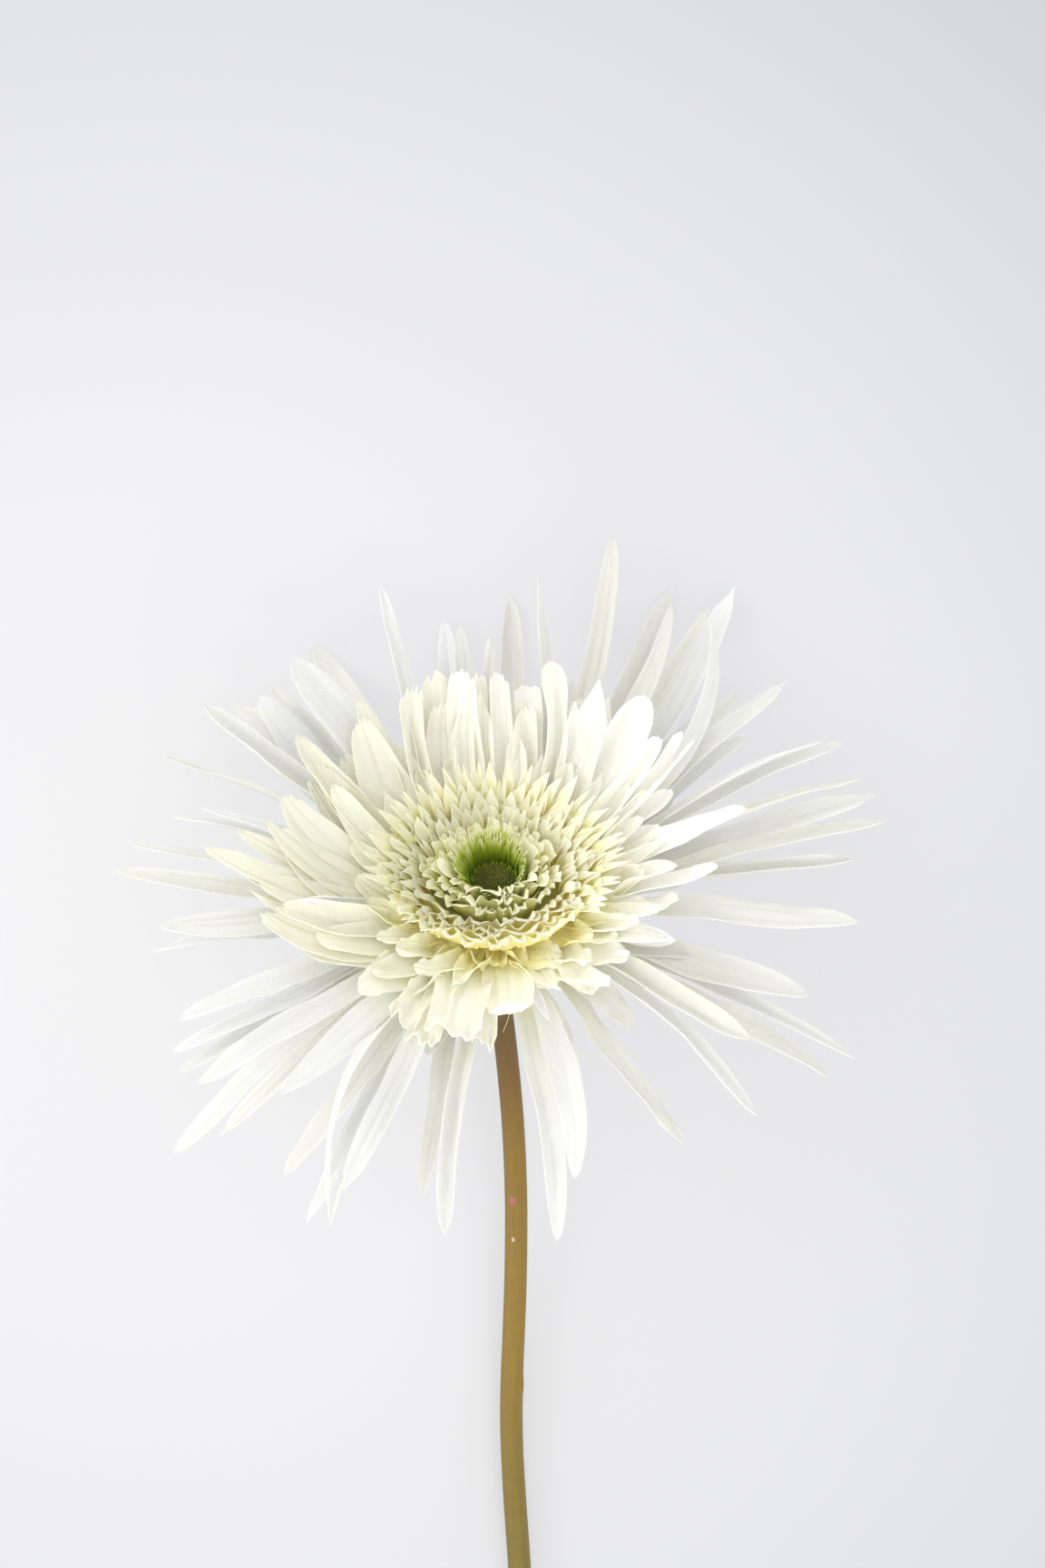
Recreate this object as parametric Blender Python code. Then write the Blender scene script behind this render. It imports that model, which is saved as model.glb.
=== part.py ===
"""A fabric gerbera on a cut stem, lying on its side, in metres with +Z up.

The stem lies along Y with its cut end at -Y. The head looks up and forward from the other end.
The origin is on the surface under the middle of the flower's outline.
"""

import math

import bmesh
import bpy
import numpy as np

MM = 0.001
GAP = 0.35 * MM

# How the flower lies. The picture plane is the plane in which the flower shows its face.
PICTURE_LEAN = math.radians(10)
FACE_TILT = math.radians(46)
HEAD_TOP = np.array((-0.0008, 0.1352, 0.0344))
STEM_END_Y = -0.2000

# The picture that the petal tips were read from: how far it was seen from, and its middle.
VIEW_DISTANCE = 0.70
PICTURE_MIDDLE = (4.65 * MM, 15.45 * MM)
AIM_TRIES = 12

# Heights along the head's axis are counted from the top of the button, outwards positive.

# The stem: round, straight on the surface, then rising in a long curve to the neck's tighter bend.
STEM_RADIUS = 1.95 * MM
STEM_SIDES = 12
NECK_HEIGHT = -20.0 * MM
NECK_BEND_RADIUS = 17.0 * MM
NECK_SLOPE = math.radians(12.5)
NECK_POINTS = 7
RISE_LENGTH = 92.0 * MM
RISE_POINTS = 14
STRAIGHT_POINTS = 10

# The stem wavers sideways: distance behind the head's middle, and how far to the right it lies there (mm).
STEM_SWAYS = (
    (-337, 0.0),
    (-240, 1.6),
    (-170, 4.2),
    (-150, 5.2),
    (-115, 4.4),
    (-98, 3.0),
    (-86, 2.5),
    (-72, 3.2),
    (-60, 3.6),
    (-45, 3.5),
    (-30, 2.4),
    (-11, 0.0),
)
SWAY_SOFTENING = (-8.0, -4.0, 0.0, 4.0, 8.0)

# Turned pieces: (radius, height) in mm.
CALYX_PROFILE = (
    (0.0, -20.0),
    (2.6, -20.0),
    (5.2, -19.0),
    (8.0, -17.0),
    (10.3, -14.4),
    (11.3, -12.0),
    (10.4, -12.0),
    (9.4, -14.2),
    (7.0, -16.4),
    (4.4, -18.1),
    (0.0, -18.7),
)
CALYX_RIM = (5, 6)
CALYX_NOTCH = 1.2 * MM
CALYX_SIDES = 28
RECEPTACLE_RADIUS = 9.0
RECEPTACLE_PROFILE = (
    (0.0, -18.35),
    (4.0, -17.75),
    (6.6, -16.05),
    (8.6, -13.9),
    (RECEPTACLE_RADIUS, -12.0),
    (RECEPTACLE_RADIUS, -3.9),
    (RECEPTACLE_RADIUS - 0.5, -3.4),
    (0.0, -3.4),
)
RECEPTACLE_SIDES = 24
BUTTON_PROFILE = ((0.0, -3.0), (3.4, -3.0), (3.4, -1.1), (2.92, -0.4), (1.7, -0.05), (0.0, 0.0))
BUTTON_SIDES = 20
ROOT_RADIUS = RECEPTACLE_RADIUS * MM + GAP

# How any petal runs out from the head: it takes up its lift over the opening length, arches by some
# degrees from root to tip, bends sideways about a share of its length, and twists to the full by another.
OPENING_LENGTH = 14.0 * MM
ARCH = math.radians(9)
BEND_CENTRE = 0.35
TWIST_SHARE = 0.77
PATH_STEPS = 48

# Where a petal comes down on the surface, it levels out along this radius below this height.
FLOOR_BEND_RADIUS = 30.0 * MM
SETTLING_HEIGHT = 10.0 * MM

# The outer petals, in five layers from the back.
LAYER_HEIGHTS = (-11.0 * MM, -10.0 * MM, -9.0 * MM, -8.0 * MM, -7.0 * MM)
LAYER_LIFTS = (-8.0, -4.5, -1.0, 2.5, 6.0)
ROOT_LIFTS = (-4.0, -2.0, 0.0, 2.0, 4.0)
LIFT_SWING = 18.0
LIFT_SCATTER = 0.8
FLOOR_STEP = 0.9 * MM
SHEET = 0.5 * MM
ROOT_WIDTH = 2.0 * MM
SWELL_SHARE = 0.6
WIDEST_SHARE = 0.62
TAPER_POWER = 2.4
TIP_POWER = 0.8
CHANNEL_DEPTH = 0.14
CHANNEL_SHARE = 0.42
PETAL_SECTIONS = (0, 6, 12, 18, 24, 30, 36, 41, 45)

# Outer petals, clockwise from the upper left: where the tip shows in the picture (mm to the right of
# and above the button), layer from the back, full width (mm), twist and sideways bend (degrees).
OUTER_PETALS = (
    (-30.6, 38.3, 0, 4.8, -10, 2),
    (-19.1, 48.5, 3, 4.2, 25, 6),
    (-8.7, 42.8, 1, 4.2, -25, -4),
    (2.7, 47.3, 0, 4.6, 8, 2),
    (7.4, 50.3, 4, 2.6, 50, 12),
    (19.5, 56.6, 3, 3.8, 22, -3),
    (28.8, 48.2, 0, 5.0, -6, 3),
    (29.4, 45.2, 4, 3.0, 12, 4),
    (35.4, 45.0, 2, 3.0, 45, -8),
    (40.7, 47.7, 1, 4.6, -28, 5),
    (48.9, 32.1, 3, 4.8, -15, -6),
    (41.3, 22.7, 0, 5.0, 5, -3),
    (54.2, 22.4, 4, 3.0, -38, -6),
    (57.8, 22.1, 1, 5.2, 6, 4),
    (60.8, 16.1, 3, 3.4, -30, 10),
    (62.9, 13.4, 0, 5.4, 8, 5),
    (64.7, 9.0, 2, 4.8, -8, 4),
    (59.9, 3.5, 1, 5.0, 5, 6),
    (60.1, -7.4, 3, 4.6, 10, 8),
    (52.1, -19.4, 2, 5.6, 8, 6),
    (59.7, -29.9, 0, 4.4, -12, 7),
    (55.2, -33.0, 1, 4.0, -10, 10),
    (42.3, -26.7, 4, 4.6, 6, 4),
    (44.0, -38.9, 3, 4.0, -14, 14),
    (31.0, -44.2, 1, 3.6, -25, 4),
    (13.5, -50.1, 3, 4.6, 10, -4),
    (10.1, -60.2, 1, 4.2, 4, 3),
    (-8.3, -59.5, 2, 4.4, -4, -2),
    (-11.9, -53.1, 0, 4.0, 15, 4),
    (-25.1, -51.5, 3, 4.4, 8, -4),
    (-27.5, -57.7, 0, 3.0, 35, 14),
    (-35.3, -48.8, 1, 4.6, 8, -3),
    (-54.0, -44.9, 0, 3.4, -30, -8),
    (-45.4, -42.7, 2, 3.6, -28, -6),
    (-35.3, -35.9, 4, 4.8, -8, 3),
    (-49.2, -34.0, 3, 5.6, 6, -4),
    (-53.2, -29.1, 1, 4.2, -12, -5),
    (-52.1, -24.1, 2, 4.2, -6, -8),
    (-56.3, -12.6, 0, 4.2, 10, -7),
    (-55.4, -8.1, 3, 4.6, -10, -3),
    (-63.4, 1.1, 2, 4.2, -8, 2),
    (-60.2, 5.8, 1, 4.0, 14, 3),
    (-53.6, 9.6, 3, 3.6, 12, 5),
    (-54.3, 19.8, 0, 3.2, 58, 6),
    (-47.9, 28.3, 3, 6.2, 4, -4),
    (-43.0, 29.0, 1, 5.2, -6, -3),
    (-39.8, 29.6, 2, 5.0, -10, -3),
    (-33.4, 36.4, 4, 5.8, 6, 4),
)

# Each ring of broad petals is cut from one sheet: its height, its lift (degrees, all round and the
# swing towards the back), and its petals as (right, above, width) in mm, read the same way.
RINGS = {
    "mid_petals_lower": (
        -5.9 * MM,
        (12.0, 15.0),
        (
            (-9.6, 34.5, 5.0),
            (-2.7, 33.8, 4.0),
            (5.9, 31.8, 4.6),
            (19.4, 29.9, 5.0),
            (36.8, 2.4, 5.5),
            (28.7, -10.1, 5.0),
            (19.7, -17.0, 5.2),
            (0.6, -27.5, 6.4),
            (-12.4, -26.7, 5.4),
            (-21.5, -24.5, 5.0),
            (-36.8, -8.7, 6.2),
            (-43.0, 1.5, 6.4),
            (-48.2, 6.0, 5.6),
            (-22.2, 29.9, 6.2),
        ),
    ),
    "mid_petals_upper": (
        -4.9 * MM,
        (15.0, 14.0),
        (
            (-13.5, 32.2, 4.2),
            (-5.7, 34.5, 4.8),
            (0.5, 34.6, 4.4),
            (9.3, 36.0, 4.8),
            (17.4, 32.9, 5.6),
            (25.2, 30.2, 7.4),
            (33.5, 23.4, 4.4),
            (30.3, 2.1, 5.2),
            (20.9, -9.2, 5.0),
            (11.0, -18.4, 5.0),
            (3.0, -21.5, 7.0),
            (-6.8, -25.5, 6.0),
            (-21.2, -18.4, 6.6),
            (-36.2, -4.2, 5.8),
            (-33.5, 4.8, 6.6),
            (-35.0, 14.3, 6.4),
            (-32.9, 24.2, 6.2),
            (-23.5, 24.2, 7.4),
        ),
    ),
    "inner_petals": (
        -3.9 * MM,
        (21.0, 10.0),
        (
            (-5.4, 28.0, 3.6),
            (3.5, 27.0, 3.4),
            (27.3, 23.3, 6.4),
            (23.3, 17.9, 3.6),
            (25.4, 14.7, 3.4),
            (28.8, 6.6, 3.4),
            (27.4, -4.2, 4.0),
            (24.0, -7.0, 3.6),
            (11.4, -13.0, 5.4),
            (-2.3, -15.5, 3.4),
            (-8.0, -17.4, 4.6),
            (-13.2, -14.0, 3.6),
            (-21.6, -10.4, 4.6),
            (-27.0, 15.8, 4.8),
        ),
    ),
}
RING_OUTER_RADIUS = 10.9 * MM
RING_ROOT_LIFT = math.radians(8)
RING_SHEET = 0.55 * MM
RING_ROOT_WIDTH = 2.1 * MM
RING_SWELL_SHARE = 0.7
RING_SECTIONS = (8, 16, 24, 32, 40, 48)
WIDEST_COLUMN = math.radians(15)
BLUNT_START = 0.75
BLUNT_END = 0.55

# The florets: (radius, height) in mm of the bottom inner, bottom outer, top outer and top inner edges,
# how far the notches between two floret tips go down, and the number of tips.
FLORET_RINGS = {
    "outer_florets": ((10.6, -3.27), (17.0, 0.5), (20.6, 5.2), (13.2, 2.0), 2.4, 40),
    "inner_florets": ((5.6, -3.0), (9.6, -3.0), (10.4, 1.8), (6.2, 3.9), 1.3, 30),
    "centre_fringe": ((3.8, -3.0), (5.2, -3.0), (5.7, 2.7), (4.9, 3.0), 0.9, 24),
}
INNER_NOTCH_SHARE = 0.4

# Colour and roughness of each material.
FINISHES = {
    "stem": ((0.27, 0.18, 0.07), 0.45),
    "calyx": ((0.10, 0.20, 0.05), 0.55),
    "receptacle": ((0.25, 0.35, 0.12), 0.6),
    "outer_petal": ((0.90, 0.90, 0.84), 0.8),
    "mid_petals_lower": ((0.88, 0.88, 0.76), 0.8),
    "mid_petals_upper": ((0.89, 0.88, 0.74), 0.8),
    "inner_petals": ((0.90, 0.88, 0.68), 0.8),
    "outer_florets": ((0.88, 0.84, 0.56), 0.85),
    "inner_florets": ((0.80, 0.80, 0.46), 0.85),
    "centre_fringe": ((0.32, 0.42, 0.06), 0.85),
    "centre_button": ((0.08, 0.12, 0.02), 0.95),
}
SMOOTH_UP_TO = math.radians(35)

RIGHT = np.array((1.0, 0.0, 0.0))
UP = np.array((0.0, math.cos(PICTURE_LEAN), math.sin(PICTURE_LEAN)))
OUT = np.array((0.0, -math.sin(PICTURE_LEAN), math.cos(PICTURE_LEAN)))
AXIS = math.cos(FACE_TILT) * UP + math.sin(FACE_TILT) * OUT
BACK = math.sin(FACE_TILT) * UP - math.cos(FACE_TILT) * OUT
VERTICAL = np.array((0.0, 0.0, 1.0))
PICTURE_CENTRE = HEAD_TOP + PICTURE_MIDDLE[0] * RIGHT + PICTURE_MIDDLE[1] * UP


def unit(vector):
    return vector / np.linalg.norm(vector)


def smooth(value):
    """0 to 1 with a soft start and end."""
    value = min(max(value, 0.0), 1.0)
    return value * value * (3.0 - 2.0 * value)


def scatter(index):
    """A fixed number between -1 and 1 for each petal."""
    value = math.sin(index * 12.9898 + 78.233) * 43758.5453
    return 2.0 * (value - math.floor(value)) - 1.0


def outward(azimuth):
    """Away from the head's axis, square to it. Azimuth 0 is right in the picture, 90 degrees the back."""
    return math.cos(azimuth) * RIGHT + math.sin(azimuth) * BACK


def head_point(radius, azimuth, height):
    return HEAD_TOP + radius * outward(azimuth) + height * AXIS


def in_picture(point):
    """Where a point shows, to the right of and above the button's top."""
    away = point - PICTURE_CENTRE
    scale = VIEW_DISTANCE / (VIEW_DISTANCE - away @ OUT)
    return scale * (away @ RIGHT) + PICTURE_MIDDLE[0], scale * (away @ UP) + PICTURE_MIDDLE[1]


def levelled(direction, clearance):
    """The direction, turned so that a petal meets the surface along a soft bend."""
    share = min(max(1.0 - clearance / FLOOR_BEND_RADIUS, 0.0), 1.0)
    steepest = math.sqrt(1.0 - share * share)
    if direction[2] >= -steepest:
        return direction
    level = unit(direction * np.array((1.0, 1.0, 0.0)))
    return level * share - VERTICAL * steepest


def petal_path(azimuth, length, root, lifts, twist, bend, floor):
    """Points along a petal, each with the directions across it and out of its face.

    root is (radius, height), lifts the lift at the root and the mean lift further out, and floor the
    height that the petal's middle line keeps over the surface.
    """
    step = length / PATH_STEPS
    point = head_point(root[0], azimuth, root[1])
    path = []
    for index in range(PATH_STEPS + 1):
        share = index / PATH_STEPS
        opened = smooth(share * length / OPENING_LENGTH)
        lift = lifts[0] + (lifts[1] - lifts[0]) * opened - ARCH * (share - 0.5) * opened
        bearing = azimuth + bend * (share - BEND_CENTRE)
        direction = math.cos(lift) * outward(bearing) + math.sin(lift) * AXIS
        clearance = max(point[2] - floor, 0.0)
        direction = levelled(direction, clearance)
        settled = 1.0 - smooth(clearance / SETTLING_HEIGHT)
        face = unit(AXIS * (1.0 - settled) + VERTICAL * settled)
        across = unit(np.cross(face, direction))
        normal = np.cross(direction, across)
        turn = twist * smooth(share / TWIST_SHARE) * (1.0 - settled)
        turned_across = math.cos(turn) * across + math.sin(turn) * normal
        path.append((point, turned_across, np.cross(direction, turned_across)))
        point = point + step * direction
        point[2] = max(point[2], floor)
    return path


def aimed_path(tip, root, lift_rule, twist, bend, floor):
    """The path whose end shows at tip in the picture, with its azimuth: both are found by trial."""
    wanted = complex(tip[0], tip[1])
    azimuth = math.atan2(tip[1] / math.sin(FACE_TILT), tip[0])
    length = abs(wanted)
    for _ in range(AIM_TRIES):
        path = petal_path(azimuth, length, root, lift_rule(azimuth), twist, bend, floor)
        shown = complex(*in_picture(path[-1][0]))
        length *= abs(wanted) / abs(shown)
        turn = wanted / shown
        azimuth += math.atan2(turn.imag, turn.real)
    return petal_path(azimuth, length, root, lift_rule(azimuth), twist, bend, floor), azimuth


def outer_width(share, width):
    """Full width of an outer petal at a share of its length: narrow root, widest past the middle, pointed."""
    broad = ROOT_WIDTH + (width - ROOT_WIDTH) * smooth(share / SWELL_SHARE)
    if share <= WIDEST_SHARE:
        return broad
    taper = ((share - WIDEST_SHARE) / (1.0 - WIDEST_SHARE)) ** TAPER_POWER
    return broad * (1.0 - taper) ** TIP_POWER


def ring_width(share, width):
    """Full width of a broad petal: it keeps its width to a blunt end."""
    broad = RING_ROOT_WIDTH + (width - RING_ROOT_WIDTH) * smooth(share / RING_SWELL_SHARE)
    return broad * (1.0 - (1.0 - BLUNT_END) * smooth((share - BLUNT_START) / (1.0 - BLUNT_START)))


def material(name):
    made = bpy.data.materials.get(name)
    if made is None:
        colour, roughness = FINISHES[name]
        made = bpy.data.materials.new(name)
        made.use_nodes = True
        shader = made.node_tree.nodes["Principled BSDF"]
        shader.inputs["Base Color"].default_value = (*colour, 1.0)
        shader.inputs["Roughness"].default_value = roughness
        shader.inputs["Metallic"].default_value = 0.0
    return made


def build_object(name, points, faces, material_name):
    """A closed mesh object at the world's origin, its faces turned outwards and shaded smooth."""
    mesh = bpy.data.meshes.new(name)
    mesh.from_pydata([tuple(point) for point in points], [], faces)
    work = bmesh.new()
    work.from_mesh(mesh)
    bmesh.ops.recalc_face_normals(work, faces=work.faces)
    work.to_mesh(mesh)
    work.free()
    mesh.materials.append(material(material_name))
    mesh.shade_smooth()
    mesh.set_sharp_from_angle(angle=SMOOTH_UP_TO)
    made = bpy.data.objects.new(name, mesh)
    bpy.context.scene.collection.objects.link(made)


def tube_faces(rings, sides):
    """Faces of a tube through that many rings of points, closed at both ends."""
    faces = []
    for ring in range(rings - 1):
        for side in range(sides):
            after = (side + 1) % sides
            low = ring * sides
            high = low + sides
            faces.append((low + side, low + after, high + after, high + side))
    faces.append(tuple(reversed(range(sides))))
    faces.append(tuple(range((rings - 1) * sides, rings * sides)))
    return faces


def stem_sway(y):
    """How far the stem's middle lies to the right of the head's middle, softened along its length."""
    behind = (y - HEAD_TOP[1]) / MM
    places, sways = zip(*STEM_SWAYS)
    near = [np.interp(behind + shift, places, sways) for shift in SWAY_SOFTENING]
    return float(np.mean(near)) * MM


def stem_line():
    """Points of the stem's middle line, from the cut end to the neck."""
    neck = HEAD_TOP + (NECK_HEIGHT - GAP) * AXIS
    head_slope = PICTURE_LEAN + FACE_TILT
    arc_y = neck[1] - NECK_BEND_RADIUS * (math.sin(head_slope) - math.sin(NECK_SLOPE))
    arc_z = neck[2] - NECK_BEND_RADIUS * (math.cos(NECK_SLOPE) - math.cos(head_slope))
    rise_start = arc_y - RISE_LENGTH
    places = []
    for y in np.linspace(STEM_END_Y, rise_start, STRAIGHT_POINTS)[:-1]:
        places.append((y, STEM_RADIUS))
    for y in np.linspace(rise_start, arc_y, RISE_POINTS)[:-1]:
        rise = ((y - rise_start) / RISE_LENGTH) ** 2
        places.append((y, STEM_RADIUS + (arc_z - STEM_RADIUS) * rise))
    for slope in np.linspace(NECK_SLOPE, head_slope, NECK_POINTS):
        y = arc_y + NECK_BEND_RADIUS * (math.sin(slope) - math.sin(NECK_SLOPE))
        z = arc_z + NECK_BEND_RADIUS * (math.cos(NECK_SLOPE) - math.cos(slope))
        places.append((y, z))
    line = [np.array((HEAD_TOP[0] + stem_sway(y), y, z)) for y, z in places]
    shift = neck - line[-1]
    return [point + shift * smooth((point[1] - arc_y) / (neck[1] - arc_y)) for point in line]


def build_stem():
    line = stem_line()
    reach = STEM_RADIUS / math.cos(math.pi / STEM_SIDES)
    points = []
    for index, middle in enumerate(line):
        along = unit(line[min(index + 1, len(line) - 1)] - line[max(index - 1, 0)])
        if index == 0:
            along = np.array((0.0, 1.0, 0.0))
        if index == len(line) - 1:
            along = AXIS
        side = unit(np.cross(along, VERTICAL))
        top = np.cross(side, along)
        for corner in range(STEM_SIDES):
            angle = 2.0 * math.pi * (corner + 0.5) / STEM_SIDES
            points.append(middle + reach * (math.cos(angle) * side + math.sin(angle) * top))
    build_object("stem", points, tube_faces(len(line), STEM_SIDES), "stem")


def build_turned(name, profile, sides, notched=(), notch=0.0):
    """A solid turned round the head's axis, closed on the axis at both ends.

    At the profile points listed in notched, every second column lies lower by notch.
    """
    points = [head_point(0.0, 0.0, profile[0][1] * MM)]
    for index, (radius, height) in enumerate(profile[1:-1], start=1):
        for side in range(sides):
            drop = notch if index in notched and side % 2 else 0.0
            points.append(head_point(radius * MM, 2.0 * math.pi * side / sides, height * MM - drop))
    points.append(head_point(0.0, 0.0, profile[-1][1] * MM))
    faces = []
    rows = len(profile) - 2
    for side in range(sides):
        after = (side + 1) % sides
        faces.append((0, 1 + after, 1 + side))
        for row in range(rows - 1):
            low = 1 + row * sides
            high = low + sides
            faces.append((low + side, low + after, high + after, high + side))
        last = 1 + (rows - 1) * sides
        faces.append((last + side, last + after, len(points) - 1))
    build_object(name, points, faces, name)


def outer_petal_path(index, petal):
    right, above, layer, _, twist, bend = petal

    def lift_rule(azimuth):
        lift = LAYER_LIFTS[layer] + LIFT_SWING * math.sin(azimuth) + LIFT_SCATTER * scatter(index)
        return math.radians(ROOT_LIFTS[layer]), math.radians(lift)

    root = (ROOT_RADIUS, LAYER_HEIGHTS[layer])
    floor = SHEET / 2.0 + layer * FLOOR_STEP
    tip = (right * MM, above * MM)
    path, _ = aimed_path(tip, root, lift_rule, math.radians(twist), math.radians(bend), floor)
    return path


def build_outer_petals():
    """Each outer petal is a thin channelled blade: two edges, with a raised and a sunk middle line."""
    for index, petal in enumerate(OUTER_PETALS):
        path = outer_petal_path(index, petal)
        points = []
        for step in PETAL_SECTIONS:
            middle, across, normal = path[step]
            share = step / PATH_STEPS
            width = outer_width(share, petal[3] * MM)
            channel = CHANNEL_DEPTH * width * smooth(share / CHANNEL_SHARE)
            points.append(middle - across * width / 2.0 + normal * channel)
            points.append(middle - normal * SHEET / 2.0)
            points.append(middle + across * width / 2.0 + normal * channel)
            points.append(middle + normal * SHEET / 2.0)
        points.append(path[-1][0])
        last = (len(PETAL_SECTIONS) - 1) * 4
        faces = tube_faces(len(PETAL_SECTIONS), 4)[:-1]
        for side in range(4):
            faces.append((last + side, last + (side + 1) % 4, last + 4))
        name = f"outer_petal_{index + 1:02d}"
        build_object(name, points, faces, "outer_petal")


def ring_columns(name):
    """The columns of points round a ring's band, each with the path and width of a petal that starts there."""
    height, (lift, swing), petals = RINGS[name]

    def lift_rule(azimuth):
        return RING_ROOT_LIFT, math.radians(lift + swing * math.sin(azimuth))

    grown = []
    for right, above, width in petals:
        root = (RING_OUTER_RADIUS, height)
        path, azimuth = aimed_path((right * MM, above * MM), root, lift_rule, 0.0, 0.0, RING_SHEET)
        grown.append((azimuth % (2.0 * math.pi), path, width * MM))
    grown.sort(key=lambda petal: petal[0])
    half_root = RING_ROOT_WIDTH / 2.0 / RING_OUTER_RADIUS
    columns = []
    for index, (azimuth, path, width) in enumerate(grown):
        columns.append((azimuth - half_root, path, width))
        columns.append((azimuth + half_root, None, 0.0))
        after = grown[index + 1][0] if index + 1 < len(grown) else grown[0][0] + 2.0 * math.pi
        spare = after - azimuth - 2.0 * half_root
        extras = int(spare / WIDEST_COLUMN)
        for extra in range(extras):
            share = (extra + 1) / (extras + 1)
            columns.append((azimuth + half_root + spare * share, None, 0.0))
    return columns


def build_ring(name):
    """A flat band round the receptacle with its broad petals growing out of the band's edge."""
    height = RINGS[name][0]
    columns = ring_columns(name)
    band = ((ROOT_RADIUS, 0.5), (ROOT_RADIUS, -0.5), (RING_OUTER_RADIUS, -0.5), (RING_OUTER_RADIUS, 0.5))
    points = []
    for azimuth, _, _ in columns:
        for radius, rise in band:
            points.append(head_point(radius, azimuth, height + rise * RING_SHEET))
    faces = []
    for index, (_, path, width) in enumerate(columns):
        here = index * 4
        there = (index + 1) % len(columns) * 4
        faces.append((here, there, there + 1, here + 1))
        faces.append((here + 1, there + 1, there + 2, here + 2))
        faces.append((here + 3, there + 3, there, here))
        before = (here + 2, there + 2, there + 3, here + 3)
        if path is None:
            faces.append(before)
            continue
        for step in RING_SECTIONS:
            middle, across, normal = path[step]
            half = ring_width(step / PATH_STEPS, width) / 2.0
            first = len(points)
            for side, rise in ((-half, -0.5), (half, -0.5), (half, 0.5), (-half, 0.5)):
                points.append(middle + across * side + normal * rise * RING_SHEET)
            after = (first, first + 1, first + 2, first + 3)
            for corner in range(4):
                beyond = (corner + 1) % 4
                faces.append((before[corner], before[beyond], after[beyond], after[corner]))
            before = after
        faces.append(before)
    build_object(name, points, faces, name)


def build_florets(name):
    """A closed band round the axis whose top edges rise to a tip at every second column."""
    *corners, notch, tips = FLORET_RINGS[name]
    columns = tips * 2
    drops = (0.0, 0.0, notch, notch * INNER_NOTCH_SHARE)
    points = []
    for column in range(columns):
        azimuth = 2.0 * math.pi * column / columns
        for (radius, height), drop in zip(corners, drops):
            lowered = height - drop if column % 2 else height
            points.append(head_point(radius * MM, azimuth, lowered * MM))
    faces = []
    for column in range(columns):
        here = column * 4
        there = (column + 1) % columns * 4
        for corner in range(4):
            beyond = (corner + 1) % 4
            faces.append((here + corner, there + corner, there + beyond, here + beyond))
    build_object(name, points, faces, name)


def build_flower():
    for old in list(bpy.data.objects):
        bpy.data.objects.remove(old, do_unlink=True)
    build_stem()
    build_turned("calyx", CALYX_PROFILE, CALYX_SIDES, CALYX_RIM, CALYX_NOTCH)
    build_turned("receptacle", RECEPTACLE_PROFILE, RECEPTACLE_SIDES)
    build_outer_petals()
    for name in RINGS:
        build_ring(name)
    for name in FLORET_RINGS:
        build_florets(name)
    build_turned("centre_button", BUTTON_PROFILE, BUTTON_SIDES)


build_flower()
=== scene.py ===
import math

import bpy
import numpy as np
from mathutils import Matrix


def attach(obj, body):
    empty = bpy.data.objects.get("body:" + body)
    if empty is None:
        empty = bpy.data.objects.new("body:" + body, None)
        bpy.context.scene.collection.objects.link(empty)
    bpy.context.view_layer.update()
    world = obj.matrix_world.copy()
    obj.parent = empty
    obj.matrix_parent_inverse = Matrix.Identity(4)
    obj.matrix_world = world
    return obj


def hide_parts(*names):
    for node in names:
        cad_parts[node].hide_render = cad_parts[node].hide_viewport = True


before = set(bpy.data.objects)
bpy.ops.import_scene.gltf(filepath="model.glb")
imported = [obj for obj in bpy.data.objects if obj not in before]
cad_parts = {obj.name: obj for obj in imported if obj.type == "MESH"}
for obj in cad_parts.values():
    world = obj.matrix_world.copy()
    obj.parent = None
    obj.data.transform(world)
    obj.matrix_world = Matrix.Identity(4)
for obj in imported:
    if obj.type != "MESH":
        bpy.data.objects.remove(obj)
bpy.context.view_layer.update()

MM = 0.001
TURN = 2.0 * math.pi

# How the flower lies, as in the CAD source. HEAD_TOP is the button's top, PICTURE_MIDDLE how far right of
# and above it the picture's middle shows, and AIM_TRIES how often petals are aimed anew. The tables below
# hold mm and degrees unless they say otherwise.
PICTURE_LEAN = math.radians(10)
FACE_TILT = math.radians(46)
HEAD_TOP = np.array((-0.0008, 0.1352, 0.0344))
VIEW_DISTANCE = 0.70
PICTURE_MIDDLE = (4.65 * MM, 15.45 * MM)
AIM_TRIES = 12
RIGHT = np.array((1.0, 0.0, 0.0))
UP = np.array((0.0, math.cos(PICTURE_LEAN), math.sin(PICTURE_LEAN)))
OUT = np.array((0.0, -math.sin(PICTURE_LEAN), math.cos(PICTURE_LEAN)))
AXIS = math.cos(FACE_TILT) * UP + math.sin(FACE_TILT) * OUT
BACK = math.sin(FACE_TILT) * UP - math.cos(FACE_TILT) * OUT
PICTURE_CENTRE = HEAD_TOP + PICTURE_MIDDLE[0] * RIGHT + PICTURE_MIDDLE[1] * UP

# How outer petals run, as in the CAD source. Heights are along the head's axis from the button's top.
ROOT_RADIUS = 9.35 * MM
OPENING_LENGTH = 14.0 * MM
ARCH = math.radians(9)
BEND_CENTRE = 0.35
TWIST_SHARE = 0.77
PATH_STEPS = 48
FLOOR_BEND_RADIUS = 30.0 * MM
SETTLING_HEIGHT = 10.0 * MM
LAYER_HEIGHTS = (-11.0, -10.0, -9.0, -8.0, -7.0)
LAYER_LIFTS = (-8.0, -4.5, -1.0, 2.5, 6.0)
ROOT_LIFTS = (-4.0, -2.0, 0.0, 2.0, 4.0)
LIFT_SWING = 18.0
LIFT_SCATTER = 0.8
FLOOR_STEP = 0.9
SHEET = 0.5

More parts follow.
